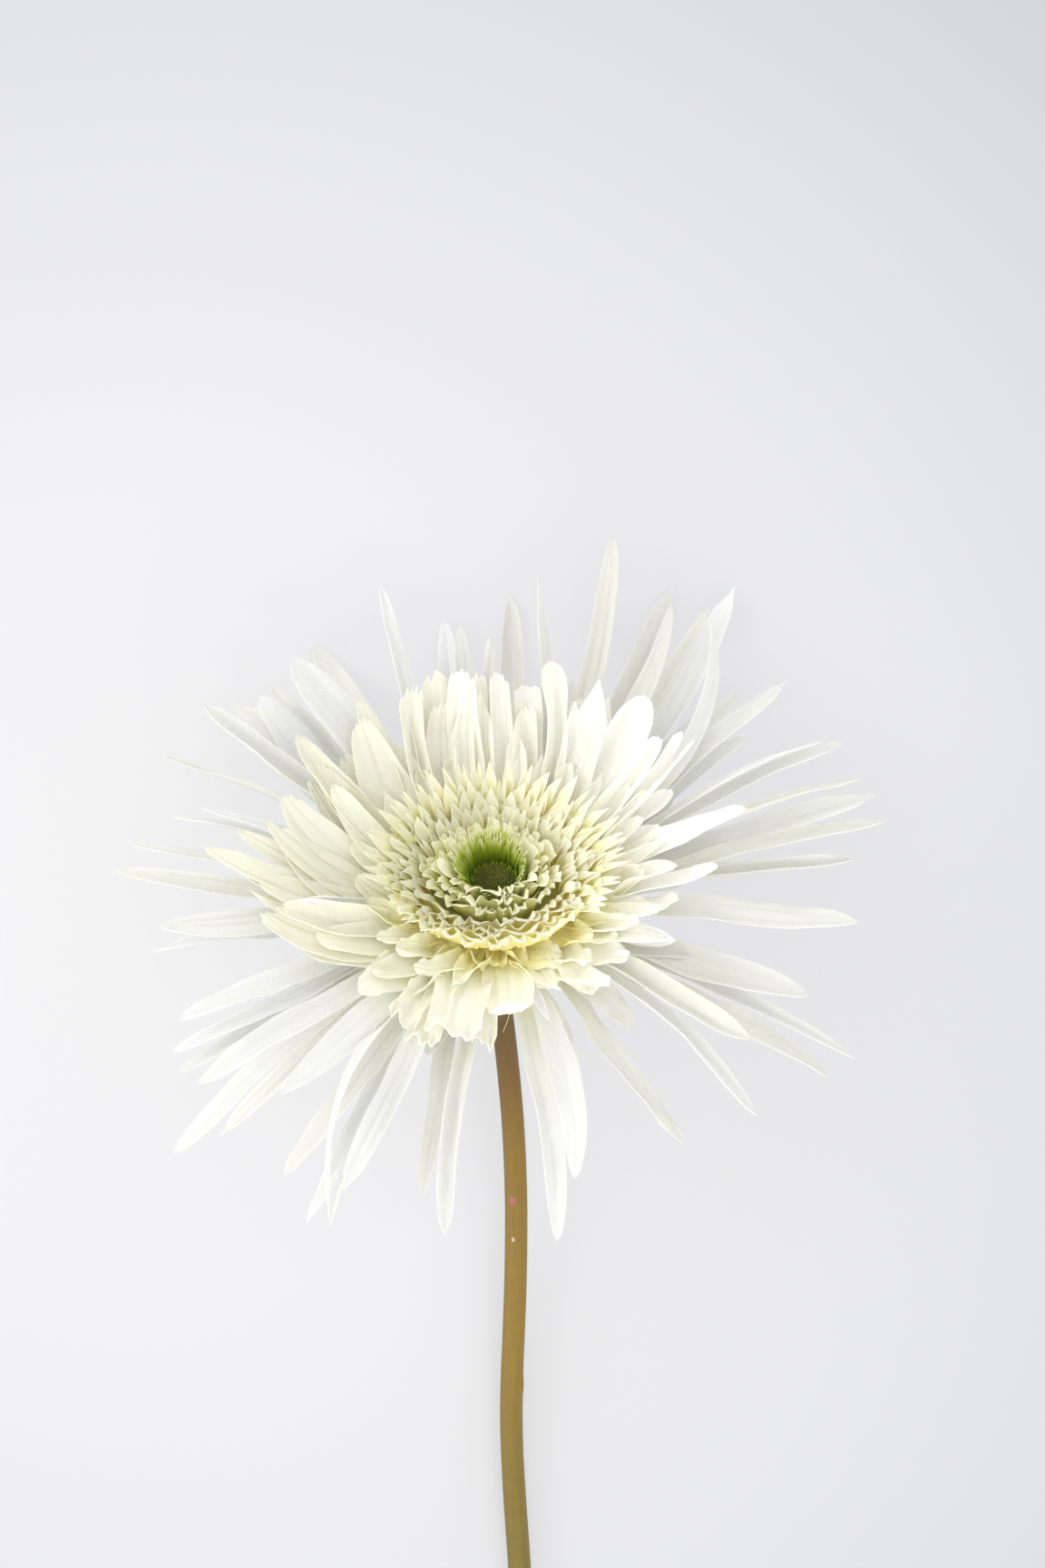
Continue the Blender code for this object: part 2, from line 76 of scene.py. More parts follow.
# The stem, as in the CAD source. Sways are (y from the button's top, how far right).
GAP = 0.35 * MM
STEM_END_Y = -0.2000
STEM_RADIUS = 1.95 * MM
NECK_HEIGHT = -20.0 * MM
NECK_BEND_RADIUS = 17.0 * MM
NECK_SLOPE = math.radians(12.5)
RISE_LENGTH = 92.0 * MM
STEM_SWAYS = (
    (-337, 0.0), (-240, 1.6), (-170, 4.2), (-150, 5.2), (-115, 4.4), (-98, 3.0),
    (-86, 2.5), (-72, 3.2), (-60, 3.6), (-45, 3.5), (-30, 2.4), (-11, 0.0),
)
SWAY_SOFTENING = (-8.0, -4.0, 0.0, 4.0, 8.0)

# The stem's finer surface: points along its three stretches and round it, ribs as (count, depth), dents,
# and marks as (y from the button's top, angle round in radians, length, width in radians, height).
# STEM_MAP is the size of the coat, round the stem and along it.
STEM_STEPS = (200, 140, 40)
STEM_SIDES = 40
STEM_RIBS = ((5, 0.035), (9, 0.02))
STEM_DENTS = 60
STEM_MARKS = ((-82.0, 0.35, 1.6, 0.35, 0.28), (-61.0, 1.9, 0.7, 0.2, 0.12))
STEM_MAP = (12.0, 400.0)

# Spots of paint: (y from the button's top, share round, half width round, half height, colour, strength).
STEM_SPOTS = (
    (-51.1, 0.30, 0.055, 0.8, (0.42, 0.10, 0.16), 0.8),
    (-57.6, 0.29, 0.03, 0.5, (0.66, 0.58, 0.45), 0.7),
)

# The coat's colours over COLOURED_STEM from the head down, and the colour of its specks. The coat runs from
# brown to olive, and its darker first stretch under the head is painted shade.
COLOURED_STEM = 120.0
STEM_COLOURS = (
    (0.12, (0.125, 0.077, 0.030)), (0.26, (0.17, 0.096, 0.026)), (0.36, (0.210, 0.129, 0.022)),
    (0.60, (0.212, 0.133, 0.018)), (0.85, (0.165, 0.116, 0.018)), (1.0, (0.150, 0.117, 0.021)),
)
SPECK_COLOUR = (0.52, 0.45, 0.30, 1.0)

# Thickness of the petals' cloth and of the florets' cloth, the weave's pitch, how far the upper and under
# sides of cloth stay above the floor, and the angle from which an edge shows as sharp.
CLOTH = 0.17 * MM
FRINGE_CLOTH = 0.11 * MM
WEAVE_PITCH = 0.34
FLOOR_CLEARANCE = (0.10, 0.02)
SHARP_ANGLE = math.radians(60)

# Outer petals: how far right of and above the button the tip shows, layer from the lowest, width, twist
# and sideways bend. Tips and layers are the CAD model's, and the rest is this model's own.
OUTER_PETALS = (
    (-30.6, 38.3, 0, 6.4, -10, 2),
    (-19.1, 48.5, 3, 2.8, 25, -9),
    (-8.7, 42.8, 1, 4.2, -25, -4),
    (2.7, 47.3, 0, 4.4, 8, 8),
    (7.4, 50.3, 4, 2.3, 50, 28),
    (19.5, 56.6, 3, 3.7, 22, 30),
    (28.8, 48.2, 0, 5.4, -6, 12),
    (29.4, 45.2, 4, 3.2, 12, 30),
    (35.4, 45.0, 2, 2.8, 45, 16),
    (40.7, 47.7, 1, 4.4, -28, 20),
    (48.9, 32.1, 3, 4.0, -15, -2),
    (41.3, 22.7, 0, 4.6, 5, 2),
    (54.2, 22.4, 4, 2.0, -38, -12),
    (57.8, 22.1, 1, 4.4, 6, -12),
    (60.8, 16.1, 3, 2.2, -30, -20),
    (62.9, 13.4, 0, 4.0, 8, -3),
    (64.7, 9.0, 2, 3.0, -8, -5),
    (59.9, 3.5, 1, 3.7, 5, -13),
    (60.1, -7.4, 3, 4.3, 10, -13),
    (52.1, -19.4, 2, 5.5, 8, -2),
    (59.7, -29.9, 0, 3.2, -12, -14),
    (55.2, -33.0, 1, 3.7, -10, -13),
    (42.3, -26.7, 4, 5.2, 6, 0),
    (44.0, -38.9, 3, 4.2, -14, -20),
    (31.0, -44.2, 1, 3.5, -25, -8),
    (13.5, -50.1, 3, 4.4, 10, -26),
    (10.1, -60.2, 1, 4.2, 4, -18),
    (-8.3, -59.5, 2, 4.9, -4, 1),
    (-11.9, -53.1, 0, 3.4, 15, 18),
    (-25.1, -51.5, 3, 4.4, 8, 0),
    (-27.5, -57.7, 0, 2.6, 35, 10),
    (-35.3, -48.8, 1, 4.2, 8, -8),
    (-54.0, -44.9, 0, 3.0, -30, 2),
    (-45.4, -42.7, 2, 3.2, -28, 14),
    (-35.3, -35.9, 4, 4.6, -8, -7),
    (-49.2, -34.0, 3, 5.1, 6, -9),
    (-53.2, -29.1, 1, 3.3, -12, 6),
    (-52.1, -24.1, 2, 3.7, -6, 13),
    (-56.3, -12.6, 0, 3.1, 10, 14),
    (-55.4, -8.1, 3, 4.7, -10, 9),
    (-63.4, 1.1, 2, 3.4, -8, 0),
    (-60.2, 5.8, 1, 3.0, 14, 0),
    (-53.6, 9.6, 3, 2.2, 12, 13),
    (-54.3, 19.8, 0, 2.6, 66, 12),
    (-47.9, 28.3, 3, 7.0, 4, -15),
    (-43.0, 29.0, 1, 6.4, -6, -10),
    (-39.8, 29.6, 2, 6.0, -10, -13),
    (-33.4, 36.4, 4, 7.0, 6, 4),
)

# Narrow petals that show between the outer ones, given alike.
SPARE_PETALS = (
    (-5.9, 41.9, 2, 3.4, 20, 3),
    (-1.0, 40.0, 4, 2.0, 35, -4),
    (18.2, 46.2, 1, 1.5, 30, 10),
    (39.8, 30.9, 0, 4.5, 6, -4),
    (46.4, -6.5, 0, 1.9, 20, -14),
    (44.4, 3.3, 0, 1.9, 20, -8),
    (-30.9, -57.4, 0, 3.0, 10, 4),
    (-52.0, -33.0, 0, 3.4, 8, -6),
    (-55.8, -0.8, 0, 3.0, 10, 2),
    (-48.1, 12.3, 4, 2.4, 20, 3),
    (-36.9, 32.0, 1, 4.5, -8, 2),
)

# How much wider outer petals are than their tables say, and ring petals on the left and elsewhere.
OUTER_BROADER = 1.12
RING_BROADER = (1.04, 1.15)

# Plain petals under the others: how many, the shares of the outline that they reach, and the angles
# that stay clear of them.
FILLER_PETALS = 24
FILLER_REACH = (0.52, 0.72)
FILLER_CLEAR = ((-104.0, -74.0), (104.0, 128.0))

# The flower's outline in the picture: (angle, how far it reaches).
RIM = (
    (-180, 60), (-165, 56), (-145, 60), (-125, 62), (-105, 58), (-90, 58), (-75, 58), (-60, 52),
    (-45, 58), (-25, 62), (-5, 60), (10, 64), (25, 60), (40, 60), (55, 58), (70, 58), (90, 48),
    (105, 50), (120, 46), (135, 48), (150, 54), (165, 58), (180, 60),
)

# Loose petals: tip right and above, (root radius, height), root lift, lift, width, twist, bend, end, cup,
# crease, curl.
LOOSE_PETALS = (
    (35.3, 44.6, (10.9, -5.4), 4, 14, 3.3, 52, 84, "point", 10, 24, 0),
    (-27.4, -57.0, (9.4, -9.0), 0, -2, 3.4, 70, 58, "point", 20, 10, 0),
    (30.2, -10.4, (10.9, -5.2), 8, 6, 4.2, 66, 4, "round", 26, 10, 0),
    (-32.8, -3.9, (10.9, -4.2), 8, 16, 3.2, -40, -4, "point", 20, 46, 0),
    (9.2, -24.2, (10.9, -5.4), 8, -1, 2.0, 30, 8, "point", 20, 30, 0),
)

# Rings of broad petals: height, (mean lift, how much more at the back), and petals as tip right and above,
# width, end, cup, curl of the end, twist and bend. A petal turns at its root by RING_SKEW times its bend
# and curves by RING_BEND times it. RIGHT_RISE is how much further the petals on the right are lifted.
RINGS = {
    "mid_petals_lower": (-5.9, (12.0, 15.0), (
        (-9.8, 34.6, 4.6, "notch", 20, 0, -6, -17),
        (-2.8, 34.1, 4.2, "jagged", 22, 0, 8, -4),
        (5.4, 32.0, 4.6, "flat", 34, 0, -4, 14),
        (13.6, 30.2, 4.4, "jagged", 20, 0, 6, 21),
        (19.4, 29.9, 4.8, "point", 28, 0, 6, 12),
        (36.8, 2.4, 5.5, "round", 30, 10, -20, 8),
        (28.7, -10.1, 5.4, "jagged", 20, 0, 10, 10),
        (19.0, -17.6, 6.0, "jagged", 34, 20, -10, 16),
        (-1.4, -26.7, 3.8, "hem", 16, 100, 0, 2),
        (-12.4, -26.5, 5.0, "hem", 18, 110, 6, -3),
        (-22.8, -18.2, 7.4, "round", 26, 10, -10, -24),
        (-38.9, -5.6, 6.8, "jagged", 14, 0, -8, -50),
        (-42.6, 1.6, 5.4, "jagged", 14, 0, 4, -26),
        (-48.2, 5.8, 5.2, "jagged", 14, 0, -6, -26),
        (-22.2, 29.9, 5.8, "jagged", 20, 0, 8, -14),
        (22.4, -12.8, 5.2, "round", 24, 0, 8, 20),
        (17.0, -18.9, 6.0, "round", 26, -25, -6, 8),
        (9.5, -18.5, 5.4, "round", 24, -20, 4, 6),
        (-16.4, -23.6, 5.2, "hem", 20, 70, -4, -8),
        (-31.5, -12.2, 6.2, "round", 16, 0, -8, -34),
        (-40.5, -2.0, 5.4, "point", 14, 0, 10, -36),
        (-43.0, 8.4, 4.6, "jagged", 16, 0, -10, -24),
        (-30.5, 16.5, 5.4, "jagged", 16, 0, 8, -28),
        (-25.0, 20.5, 5.8, "notch", 20, 0, -6, -20),
        (12.5, 26.5, 4.6, "notch", 26, 0, -8, 18),
        (24.5, 22.0, 5.2, "round", 26, 0, 8, 6),
        (29.5, 14.5, 5.2, "round", 24, 0, -6, 6),
        (42.2, 12.1, 4.6, "jagged", 22, 0, 8, -3),
        (30.5, -3.0, 4.8, "round", 26, 0, -8, 10),
        (-12.2, 28.5, 5.0, "jagged", 20, 0, 6, -20),
        (3.0, 30.0, 4.6, "jagged", 22, 0, -6, 3),
        (-6.4, 30.5, 4.6, "jagged", 22, 0, 4, -10),
    )),
    "mid_petals_upper": (-4.9, (15.0, 14.0), (
        (-13.4, 32.2, 5.0, "jagged", 26, 0, 10, -24),
        (-4.9, 34.8, 5.4, "jagged", 18, 0, -8, -9),
        (0.7, 34.5, 4.0, "jagged", 34, 0, 6, 6),
        (9.4, 35.9, 5.2, "round", 26, 0, 8, 22),
        (17.4, 32.9, 6.0, "point", 34, 0, -14, 17),
        (25.2, 30.2, 8.8, "round", 40, 8, 0, 10),
        (32.6, 23.6, 5.0, "fork", 16, 0, 0, 14),
        (30.3, 2.1, 5.2, "round", 26, 0, -4, 8),
        (21.0, -8.8, 6.6, "notch", 24, 10, 6, 16),
        (11.0, -18.2, 5.4, "point", 38, 30, -8, 22),
        (2.9, -20.7, 7.6, "round", 26, 85, 6, -2),
        (-7.2, -25.2, 8.0, "hem", 14, 110, -4, 2),
        (-20.5, -15.2, 6.4, "round", 24, 15, 4, -30),
        (-36.2, -4.4, 7.4, "jagged", 12, 0, -10, -32),
        (-34.0, 5.0, 7.6, "jagged", 12, 0, 6, -44),
        (-35.0, 14.3, 7.4, "jagged", 12, 0, -4, -35),
        (-32.7, 24.2, 7.0, "jagged", 14, 0, 8, -24),
        (-23.1, 26.4, 8.8, "jagged", 24, 0, -6, -17),
        (-37.2, 9.6, 6.6, "jagged", 12, 0, 6, -38),
        (-39.4, 0.4, 7.0, "jagged", 12, 0, -6, -30),
        (-29.5, -9.6, 6.8, "round", 16, 0, -6, -30),
        (-15.4, -19.4, 5.8, "point", 36, 0, -4, -20),
        (8.2, -16.6, 5.4, "round", 26, -20, 6, 14),
        (16.0, -14.5, 5.4, "round", 28, 0, -8, 20),
        (25.8, -4.8, 5.6, "round", 26, 0, 6, 14),
        (27.5, 8.6, 5.0, "round", 28, 0, -6, 8),
        (24.5, 14.5, 5.2, "notch", 26, 0, 8, 8),
        (13.6, 29.2, 3.8, "point", 34, 0, 8, 20),
        (-8.8, 29.4, 5.0, "jagged", 34, 0, 4, -16),
        (-2.2, 30.8, 4.2, "point", 30, 0, -6, -4),
        (-29.0, 19.4, 6.0, "jagged", 18, 0, -8, -24),
        (-16.0, 22.0, 5.6, "notch", 30, 0, 6, -12),
        (5.0, 28.5, 4.2, "jagged", 30, 0, 6, 12),
    )),
    "inner_petals": (-3.9, (21.0, 10.0), (
        (-5.2, 27.8, 3.6, "notch", 40, 0, 4, -8),
        (3.5, 25.0, 3.6, "point", 40, 0, -6, 8),
        (27.3, 23.3, 6.6, "round", 52, 10, 4, 10),
        (23.3, 17.9, 4.2, "point", 34, 0, 8, 10),
        (25.4, 14.7, 4.0, "round", 40, 0, -6, 10),
        (28.8, 6.6, 3.8, "point", 50, 0, 10, 8),
        (27.4, -4.2, 4.4, "round", 28, 8, -4, 14),
        (24.0, -7.0, 4.2, "round", 30, 10, 6, 16),
        (11.4, -13.0, 5.8, "notch", 20, -20, 6, 46),
        (-2.3, -15.5, 3.8, "point", 46, 0, -14, 4),
        (-7.2, -17.8, 4.6, "point", 34, 10, 6, -20),
        (-13.4, -14.7, 4.2, "round", 30, 0, -6, -46),
        (-19.5, -9.4, 5.2, "round", 26, 0, 6, -36),
        (-27.0, 15.8, 5.4, "jagged", 22, 0, -8, -24),
        (-12.8, -11.6, 4.4, "round", 26, 0, 8, -50),
        (-16.4, -11.6, 4.6, "round", 26, -10, -6, -44),
        (-21.5, -4.0, 5.4, "notch", 20, 0, 6, -40),
        (-22.5, 0.5, 5.4, "round", 20, 0, -8, -36),
        (-23.0, 6.0, 5.2, "round", 22, 0, 6, -30),
        (-18.0, 14.5, 5.0, "point", 28, 0, -6, -14),
        (-12.5, 18.0, 4.4, "round", 32, 0, 8, -12),
        (-7.5, 20.0, 4.0, "round", 32, 0, -6, -8),
        (8.0, 20.5, 4.0, "point", 34, 0, 6, 8),
        (12.5, 19.0, 4.4, "round", 32, 0, -8, 10),
        (18.0, 17.0, 4.2, "point", 32, 0, 6, 10),
        (24.5, 10.0, 4.2, "round", 32, 0, -6, 10),
        (25.0, 1.5, 4.6, "notch", 28, 0, 8, 12),
        (20.5, -5.5, 4.8, "round", 28, 0, -6, 20),
        (16.5, -9.5, 5.0, "round", 26, 0, 8, 28),
        (6.0, -14.0, 4.6, "point", 28, -10, -6, 30),
        (1.4, -14.8, 4.4, "round", 34, -10, 10, 6),
    )),
}
RING_OUTER_RADIUS = 10.9 * MM
RING_ROOT_LIFT = 8.0
RING_SHEET = 0.55
RING_SKEW = 0.8
RING_BEND = 1.5
RING_LIFT_SCATTER = 2.0
RIGHT_RISE = 10.0

# How much narrower a broad petal gets towards each kind of end.
NARROWED = {"point": 0.82, "round": 0.52, "jagged": 0.70, "notch": 0.5, "flat": 0.34, "hem": 0.0,
            "fork": 0.25}

# Ruffled collars: lobes, root (radius, height), length, lean outward, and swell of the ruffles.
OUTER_COLLARS = (
    (25, (10.9, -3.1), 6.9, 13.0, 0.58),
    (28, (12.3, -2.2), 6.0, 18.0, 0.58),
    (31, (13.9, -1.2), 5.8, 21.0, 0.58),
    (34, (15.5, -0.2), 5.3, 24.0, 0.58),
)
INNER_COLLARS = (
    (17, (4.95, -2.9), 7.6, 8.0, 0.60),
    (21, (6.5, -2.9), 7.0, 10.5, 0.66),
    (25, (8.2, -2.9), 6.3, 13.5, 0.70),
)

# Rows of strips: how many, root and tip as (radius, height), and width.
OUTER_FLORET_ROWS = (
    (34, (10.9, -3.1), (13.2, 2.2), 2.1),
    (38, (12.6, -2.2), (15.2, 3.1), 2.1),
    (42, (14.3, -1.2), (17.4, 4.0), 2.1),
    (46, (15.9, -0.2), (20.0, 4.8), 2.05),
)
INNER_FLORET_ROWS = (
    (15, (5.8, -2.9), (7.3, 3.2), 1.5),
    (19, (7.3, -2.9), (8.8, 2.9), 1.6),
)
FUNNEL_ROWS = (
    (54, (4.2, -1.0), (5.2, 3.0), 0.62),
    (58, (4.5, -0.6), (5.5, 3.6), 0.62),
    (60, (4.8, -0.2), (5.8, 4.1), 0.66),
)
STUB_ROWS = ((40, (3.5, -2.3), (3.85, 0.0), 0.5),)

# Turned profiles as (radius, height): the band under the inner florets, the button and the top that its
# tufts stand on, the calyx with its rows of scales (how many, root, tip, width), and the receptacle.
INNER_FLOOR = ((7.6, -2.8), (11.0, -2.8))
BUTTON_PROFILE = (
    (3.35, -2.9), (3.4, -1.6), (3.3, -1.1), (2.9, -0.75), (2.2, -0.55), (1.2, -0.4), (0.15, -0.35),
)
BUTTON_TOP = ((0, -0.35), (1.2, -0.4), (2.2, -0.55), (2.9, -0.75), (3.3, -1.1), (3.5, -1.6))
BUTTON_TUFTS = 420
BUTTON_RADIUS = 3.45
CALYX_PROFILE = ((0.3, -19.7), (2.6, -19.6), (5.2, -18.7), (7.8, -16.8), (9.8, -14.4), (10.5, -12.4))
CALYX_SCALES = (
    (14, (3.0, -19.9), (8.2, -17.2), 2.6),
    (18, (5.6, -18.9), (10.6, -14.6), 2.8),
    (22, (8.2, -17.0), (11.3, -12.2), 2.7),
)
RECEPTACLE_PROFILE = (
    (0.3, -18.2), (4.0, -17.6), (6.5, -15.9), (8.5, -13.8), (8.8, -12.0), (8.8, -8.0), (8.8, -4.0),
    (8.4, -3.5), (4.0, -3.5), (0.3, -3.5),
)

# The loose thread: right of and above the button, and height over the surface.
THREAD_POINTS = ((2.6, -22.6, 14.0), (2.35, -23.9, 13.6), (1.9, -25.2, 13.0), (1.35, -26.6, 12.4))
THREAD_RADIUS = 0.05 * MM

# Cloth by slot: name, share of light that passes, settings (how much the tone and painted shade vary, how
# strong the painted highlight along cut edges is, and the span of the colours where that isn't the whole
# length), and colours from root to tip.
CLOTHS = {
    "outer_petal": ("petal_white", 0.48, {"tone_and_shade_share": 0.05}, (
        (0.0, (0.94, 0.93, 0.74)), (0.25, (0.905, 0.905, 0.86)), (0.5, (0.890, 0.891, 0.887)),
        (1.0, (0.884, 0.886, 0.892)))),
    "mid_petal": ("petal_cream", 0.48, {"tone_and_shade_share": 0.08, "span": 19.0}, (
        (0.0, (0.978, 0.915, 0.44)), (0.28, (0.976, 0.952, 0.74)), (0.45, (0.975, 0.966, 0.88)),
        (0.65, (0.975, 0.970, 0.925)), (1.0, (0.975, 0.971, 0.945)))),
    "inner_petal": ("petal_inner", 0.45, {"tone_and_shade_share": 0.08, "span": 17.0}, (
        (0.0, (0.98, 0.905, 0.36)), (0.32, (0.98, 0.95, 0.64)), (0.50, (0.978, 0.967, 0.84)),
        (0.7, (0.975, 0.973, 0.915)), (1.0, (0.975, 0.975, 0.94)))),
    "outer_floret": ("fringe_cream", 0.48, {"tone_and_shade_share": 0.10, "edge": 0.0}, (
        (0.0, (0.965, 0.905, 0.42)), (0.3, (0.975, 0.94, 0.58)), (0.55, (0.974, 0.953, 0.74)),
        (0.75, (0.977, 0.966, 0.86)), (1.0, (0.980, 0.974, 0.92)))),
    "inner_floret": ("fringe_green_cream", 0.42, {"tone_and_shade_share": 0.07, "edge": 0.0}, (
        (0.0, (0.45, 0.43, 0.10)), (0.25, (0.70, 0.68, 0.26)), (0.45, (0.96, 0.945, 0.50)),
        (0.60, (0.988, 0.974, 0.70)), (0.78, (0.992, 0.983, 0.83)), (1.0, (0.993, 0.987, 0.90)))),
    "centre_fringe": ("fringe_green", 0.38, {"tone_and_shade_share": 0.08, "edge": 0.0}, (
        (0.0, (0.10, 0.17, 0.002)), (0.3, (0.22, 0.33, 0.005)), (0.58, (0.36, 0.46, 0.010)),
        (0.78, (0.63, 0.69, 0.15)), (1.0, (0.94, 0.94, 0.68)))),
    "centre_button": ("pile_green", 0.12, {"tone_and_shade_share": 0.25, "edge": 0.0}, (
        (0.0, (0.06, 0.08, 0.006)), (0.5, (0.18, 0.21, 0.025)), (1.0, (0.34, 0.38, 0.07)))),
}
# Colour of the painted highlight along the cloth's cut edges.
EDGE_HIGHLIGHT_COLOUR = (0.97, 0.975, 0.95, 1.0)

# The floor glows softly, brightest at one place (in metres), with these colours from there outward.
FLOOR_BRIGHTEST = (-0.050, 0.140, 0.0)
FLOOR_COLOURS = (
    (0.12, (0.2285, 0.2288, 0.2335)), (0.30, (0.2245, 0.2247, 0.2320)), (0.44, (0.2120, 0.2126, 0.2180)),
    (0.54, (0.2060, 0.2070, 0.2125)), (0.71, (0.1905, 0.1918, 0.1960)), (0.85, (0.1750, 0.1765, 0.1800)),
    (1.0, (0.1590, 0.1605, 0.1635)),
)
FLOOR_GLOW = 2.40
FLOOR_REACH = 6.0
FLOOR_DROP = 0.0002

# Lights: place and size in metres, power in watts, and colour.
KEY_LIGHT = ((-0.85, 0.22, 0.50), 0.5, 3.1, (1.0, 0.988, 0.960))
FILL_LIGHT = ((0.25, -0.76, 0.54), 0.7, 5.8, (1.0, 0.990, 0.962))
STUDIO_COLOUR = (0.998, 0.992, 0.975, 1.0)
STUDIO_STRENGTH = 1.23
LIGHT_BOUNCES = 16

# The picture's height at the flower, and the camera's sensor.
PICTURE_HEIGHT = 259.2 * MM
SENSOR = 36.0


def unit(vectors):
    return vectors / np.linalg.norm(vectors, axis=-1, keepdims=True)


def smooth(value):
    """0 to 1 with a soft start and end."""
    value = np.clip(value, 0.0, 1.0)
    return value * value * (3.0 - 2.0 * value)


def pair(first, second):
    """Two coordinates for every point."""
    return np.stack(np.broadcast_arrays(first, second), -1)


def scatter(index):
    """A fixed number between -1 and 1 for each outer petal, as in the CAD source."""
    value = math.sin(index * 12.9898 + 78.233) * 43758.5453
    return 2.0 * (value - math.floor(value)) - 1.0


def ripple(along, draw, cycles):
    """A smooth uneven wave of about 1 either way, with about that many waves over the length."""
    total = 0.0
    for part, size in enumerate((0.6, 0.35, 0.2)):
        phase = draw.uniform(0.0, TURN)
        total = total + size * np.sin(TURN * cycles * (0.6 + 0.6 * part) * along + phase)
    return total


def outward(azimuth):
    """Away from the head's axis, square to it. Azimuth 0 is right in the picture, 90 degrees the back."""
    return np.cos(azimuth)[..., None] * RIGHT + np.sin(azimuth)[..., None] * BACK


def head_point(radius, azimuth, height):
    radius, azimuth, height = np.broadcast_arrays(radius, np.asarray(azimuth, float), height)
    return HEAD_TOP + radius[..., None] * outward(azimuth) + height[..., None] * AXIS


def in_picture(points):
    """Where points show, as complex numbers: to the right of and above the button's top."""
    away = points - PICTURE_CENTRE
    scale = VIEW_DISTANCE / (VIEW_DISTANCE - away @ OUT)
    return scale * (away @ RIGHT) + PICTURE_MIDDLE[0] + 1j * (scale * (away @ UP) + PICTURE_MIDDLE[1])


def petal_paths(petals, azimuth, length):
    """Middle lines of all petals at once: points, directions across, and directions out of the face."""
    count = len(azimuth)
    step = (length / PATH_STEPS)[:, None]
    point = head_point(petals["root_radius"], azimuth, petals["root_height"])
    root_lift = np.radians(petals["root_lift"])
    mean_lift = np.radians(petals["lift"] + petals["swing"] * np.sin(azimuth))
    floor = petals["floor"]
    points, acrosses, faces = (np.empty((count, PATH_STEPS + 1, 3)) for _ in range(3))
    for index in range(PATH_STEPS + 1):
        share = index / PATH_STEPS
        opened = smooth(share * length / OPENING_LENGTH)
        lift = root_lift + (mean_lift - root_lift) * opened - ARCH * (share - 0.5) * opened
        lift = lift + np.radians(petals["curl"]) * smooth((share - petals["curl_from"]) / 0.2)
        bearing = azimuth + np.radians(petals["skew"] + petals["bend"] * (share - BEND_CENTRE))
        direction = np.cos(lift)[:, None] * outward(bearing) + np.sin(lift)[:, None] * AXIS
        clearance = np.maximum(point[:, 2] - floor, 0.0)
        level_share = np.clip(1.0 - clearance / FLOOR_BEND_RADIUS, 0.0, 1.0)
        steepest = np.sqrt(1.0 - level_share**2)
        level = unit(direction * np.array((1.0, 1.0, 0.0))) * level_share[:, None]
        level[:, 2] = -steepest
        direction = np.where((direction[:, 2] < -steepest)[:, None], level, direction)
        settled = (1.0 - smooth(clearance / SETTLING_HEIGHT))[:, None]
        face = unit(AXIS * (1.0 - settled) + np.array((0.0, 0.0, 1.0)) * settled)
        across = unit(np.cross(face, direction))
        normal = np.cross(direction, across)
        turn = (np.radians(petals["twist"]) * smooth(share / TWIST_SHARE))[:, None] * (1.0 - settled)
        turned = np.cos(turn) * across + np.sin(turn) * normal
        points[:, index], acrosses[:, index], faces[:, index] = point, turned, np.cross(direction, turned)
        point = point + step * direction
        point[:, 2] = np.maximum(point[:, 2], floor)
    return points, acrosses, faces


def aimed_paths(rows):
    """The paths whose ends show at the petals' tips in the picture, and their azimuths, found by trial."""
    petals = {key: np.array([row[key] for row in rows]) for key in rows[0]}
    wanted = petals["tip"]
    azimuth = np.arctan2(wanted.imag / math.sin(FACE_TILT), wanted.real)
    length = np.abs(wanted)
    for _ in range(AIM_TRIES):
        points, _, _ = petal_paths(petals, azimuth, length)
        shown = in_picture(points[:, -1])
        length = length * np.abs(wanted) / np.abs(shown)
        azimuth = azimuth + np.angle(wanted / shown)
    return list(zip(*petal_paths(petals, azimuth, length))), azimuth


def outer_rows(petals, scattered):
    """What aimed_paths needs for petals given as in OUTER_PETALS."""
    return [{
        "tip": complex(right, above) * MM, "root_radius": ROOT_RADIUS,
        "root_height": LAYER_HEIGHTS[layer] * MM, "root_lift": ROOT_LIFTS[layer],
        "lift": LAYER_LIFTS[layer] + (LIFT_SCATTER * scatter(index) if scattered else 0.0),
        "swing": LIFT_SWING, "twist": float(twist), "skew": 0.0, "bend": float(bend),
        "curl": 0.0, "curl_from": 0.8, "floor": (SHEET / 2.0 + layer * FLOOR_STEP) * MM,
    } for index, (right, above, layer, _, twist, bend) in enumerate(petals)]


def ring_rows(name):
    """What aimed_paths needs for a ring's petals. Those on the right rise further."""
    height, (lift, swing), petals = RINGS[name]
    rows = []
    for index, (right, above, _, end, _, curl, twist, bend) in enumerate(petals):
        offset = RING_LIFT_SCATTER * scatter(index * 3 + len(name)) * (0.3 if end == "hem" else 1.0)
        sideways = max(math.cos(math.atan2(above / math.sin(FACE_TILT), right) - 0.2), 0.0)
        rows.append({
            "tip": complex(right, above) * MM, "root_radius": RING_OUTER_RADIUS,
            "root_height": height * MM, "root_lift": RING_ROOT_LIFT,
            "lift": lift + offset + RIGHT_RISE * sideways**2, "swing": swing,
            "twist": float(twist), "skew": RING_SKEW * bend, "bend": RING_BEND * bend,
            "curl": float(curl), "curl_from": 0.86 if end == "hem" else 0.7, "floor": RING_SHEET * MM,
        })
    return rows


def loose_rows():
    """What aimed_paths needs for the loose petals."""
    return [{
        "tip": complex(right, above) * MM, "root_radius": root[0] * MM, "root_height": root[1] * MM,
        "root_lift": float(root_lift), "lift": float(lift), "swing": 0.0, "twist": float(twist),
        "skew": 0.0, "bend": float(bend), "curl": float(curl), "curl_from": 0.7, "floor": RING_SHEET * MM,
    } for right, above, root, root_lift, lift, _, twist, bend, _, _, _, curl in LOOSE_PETALS]


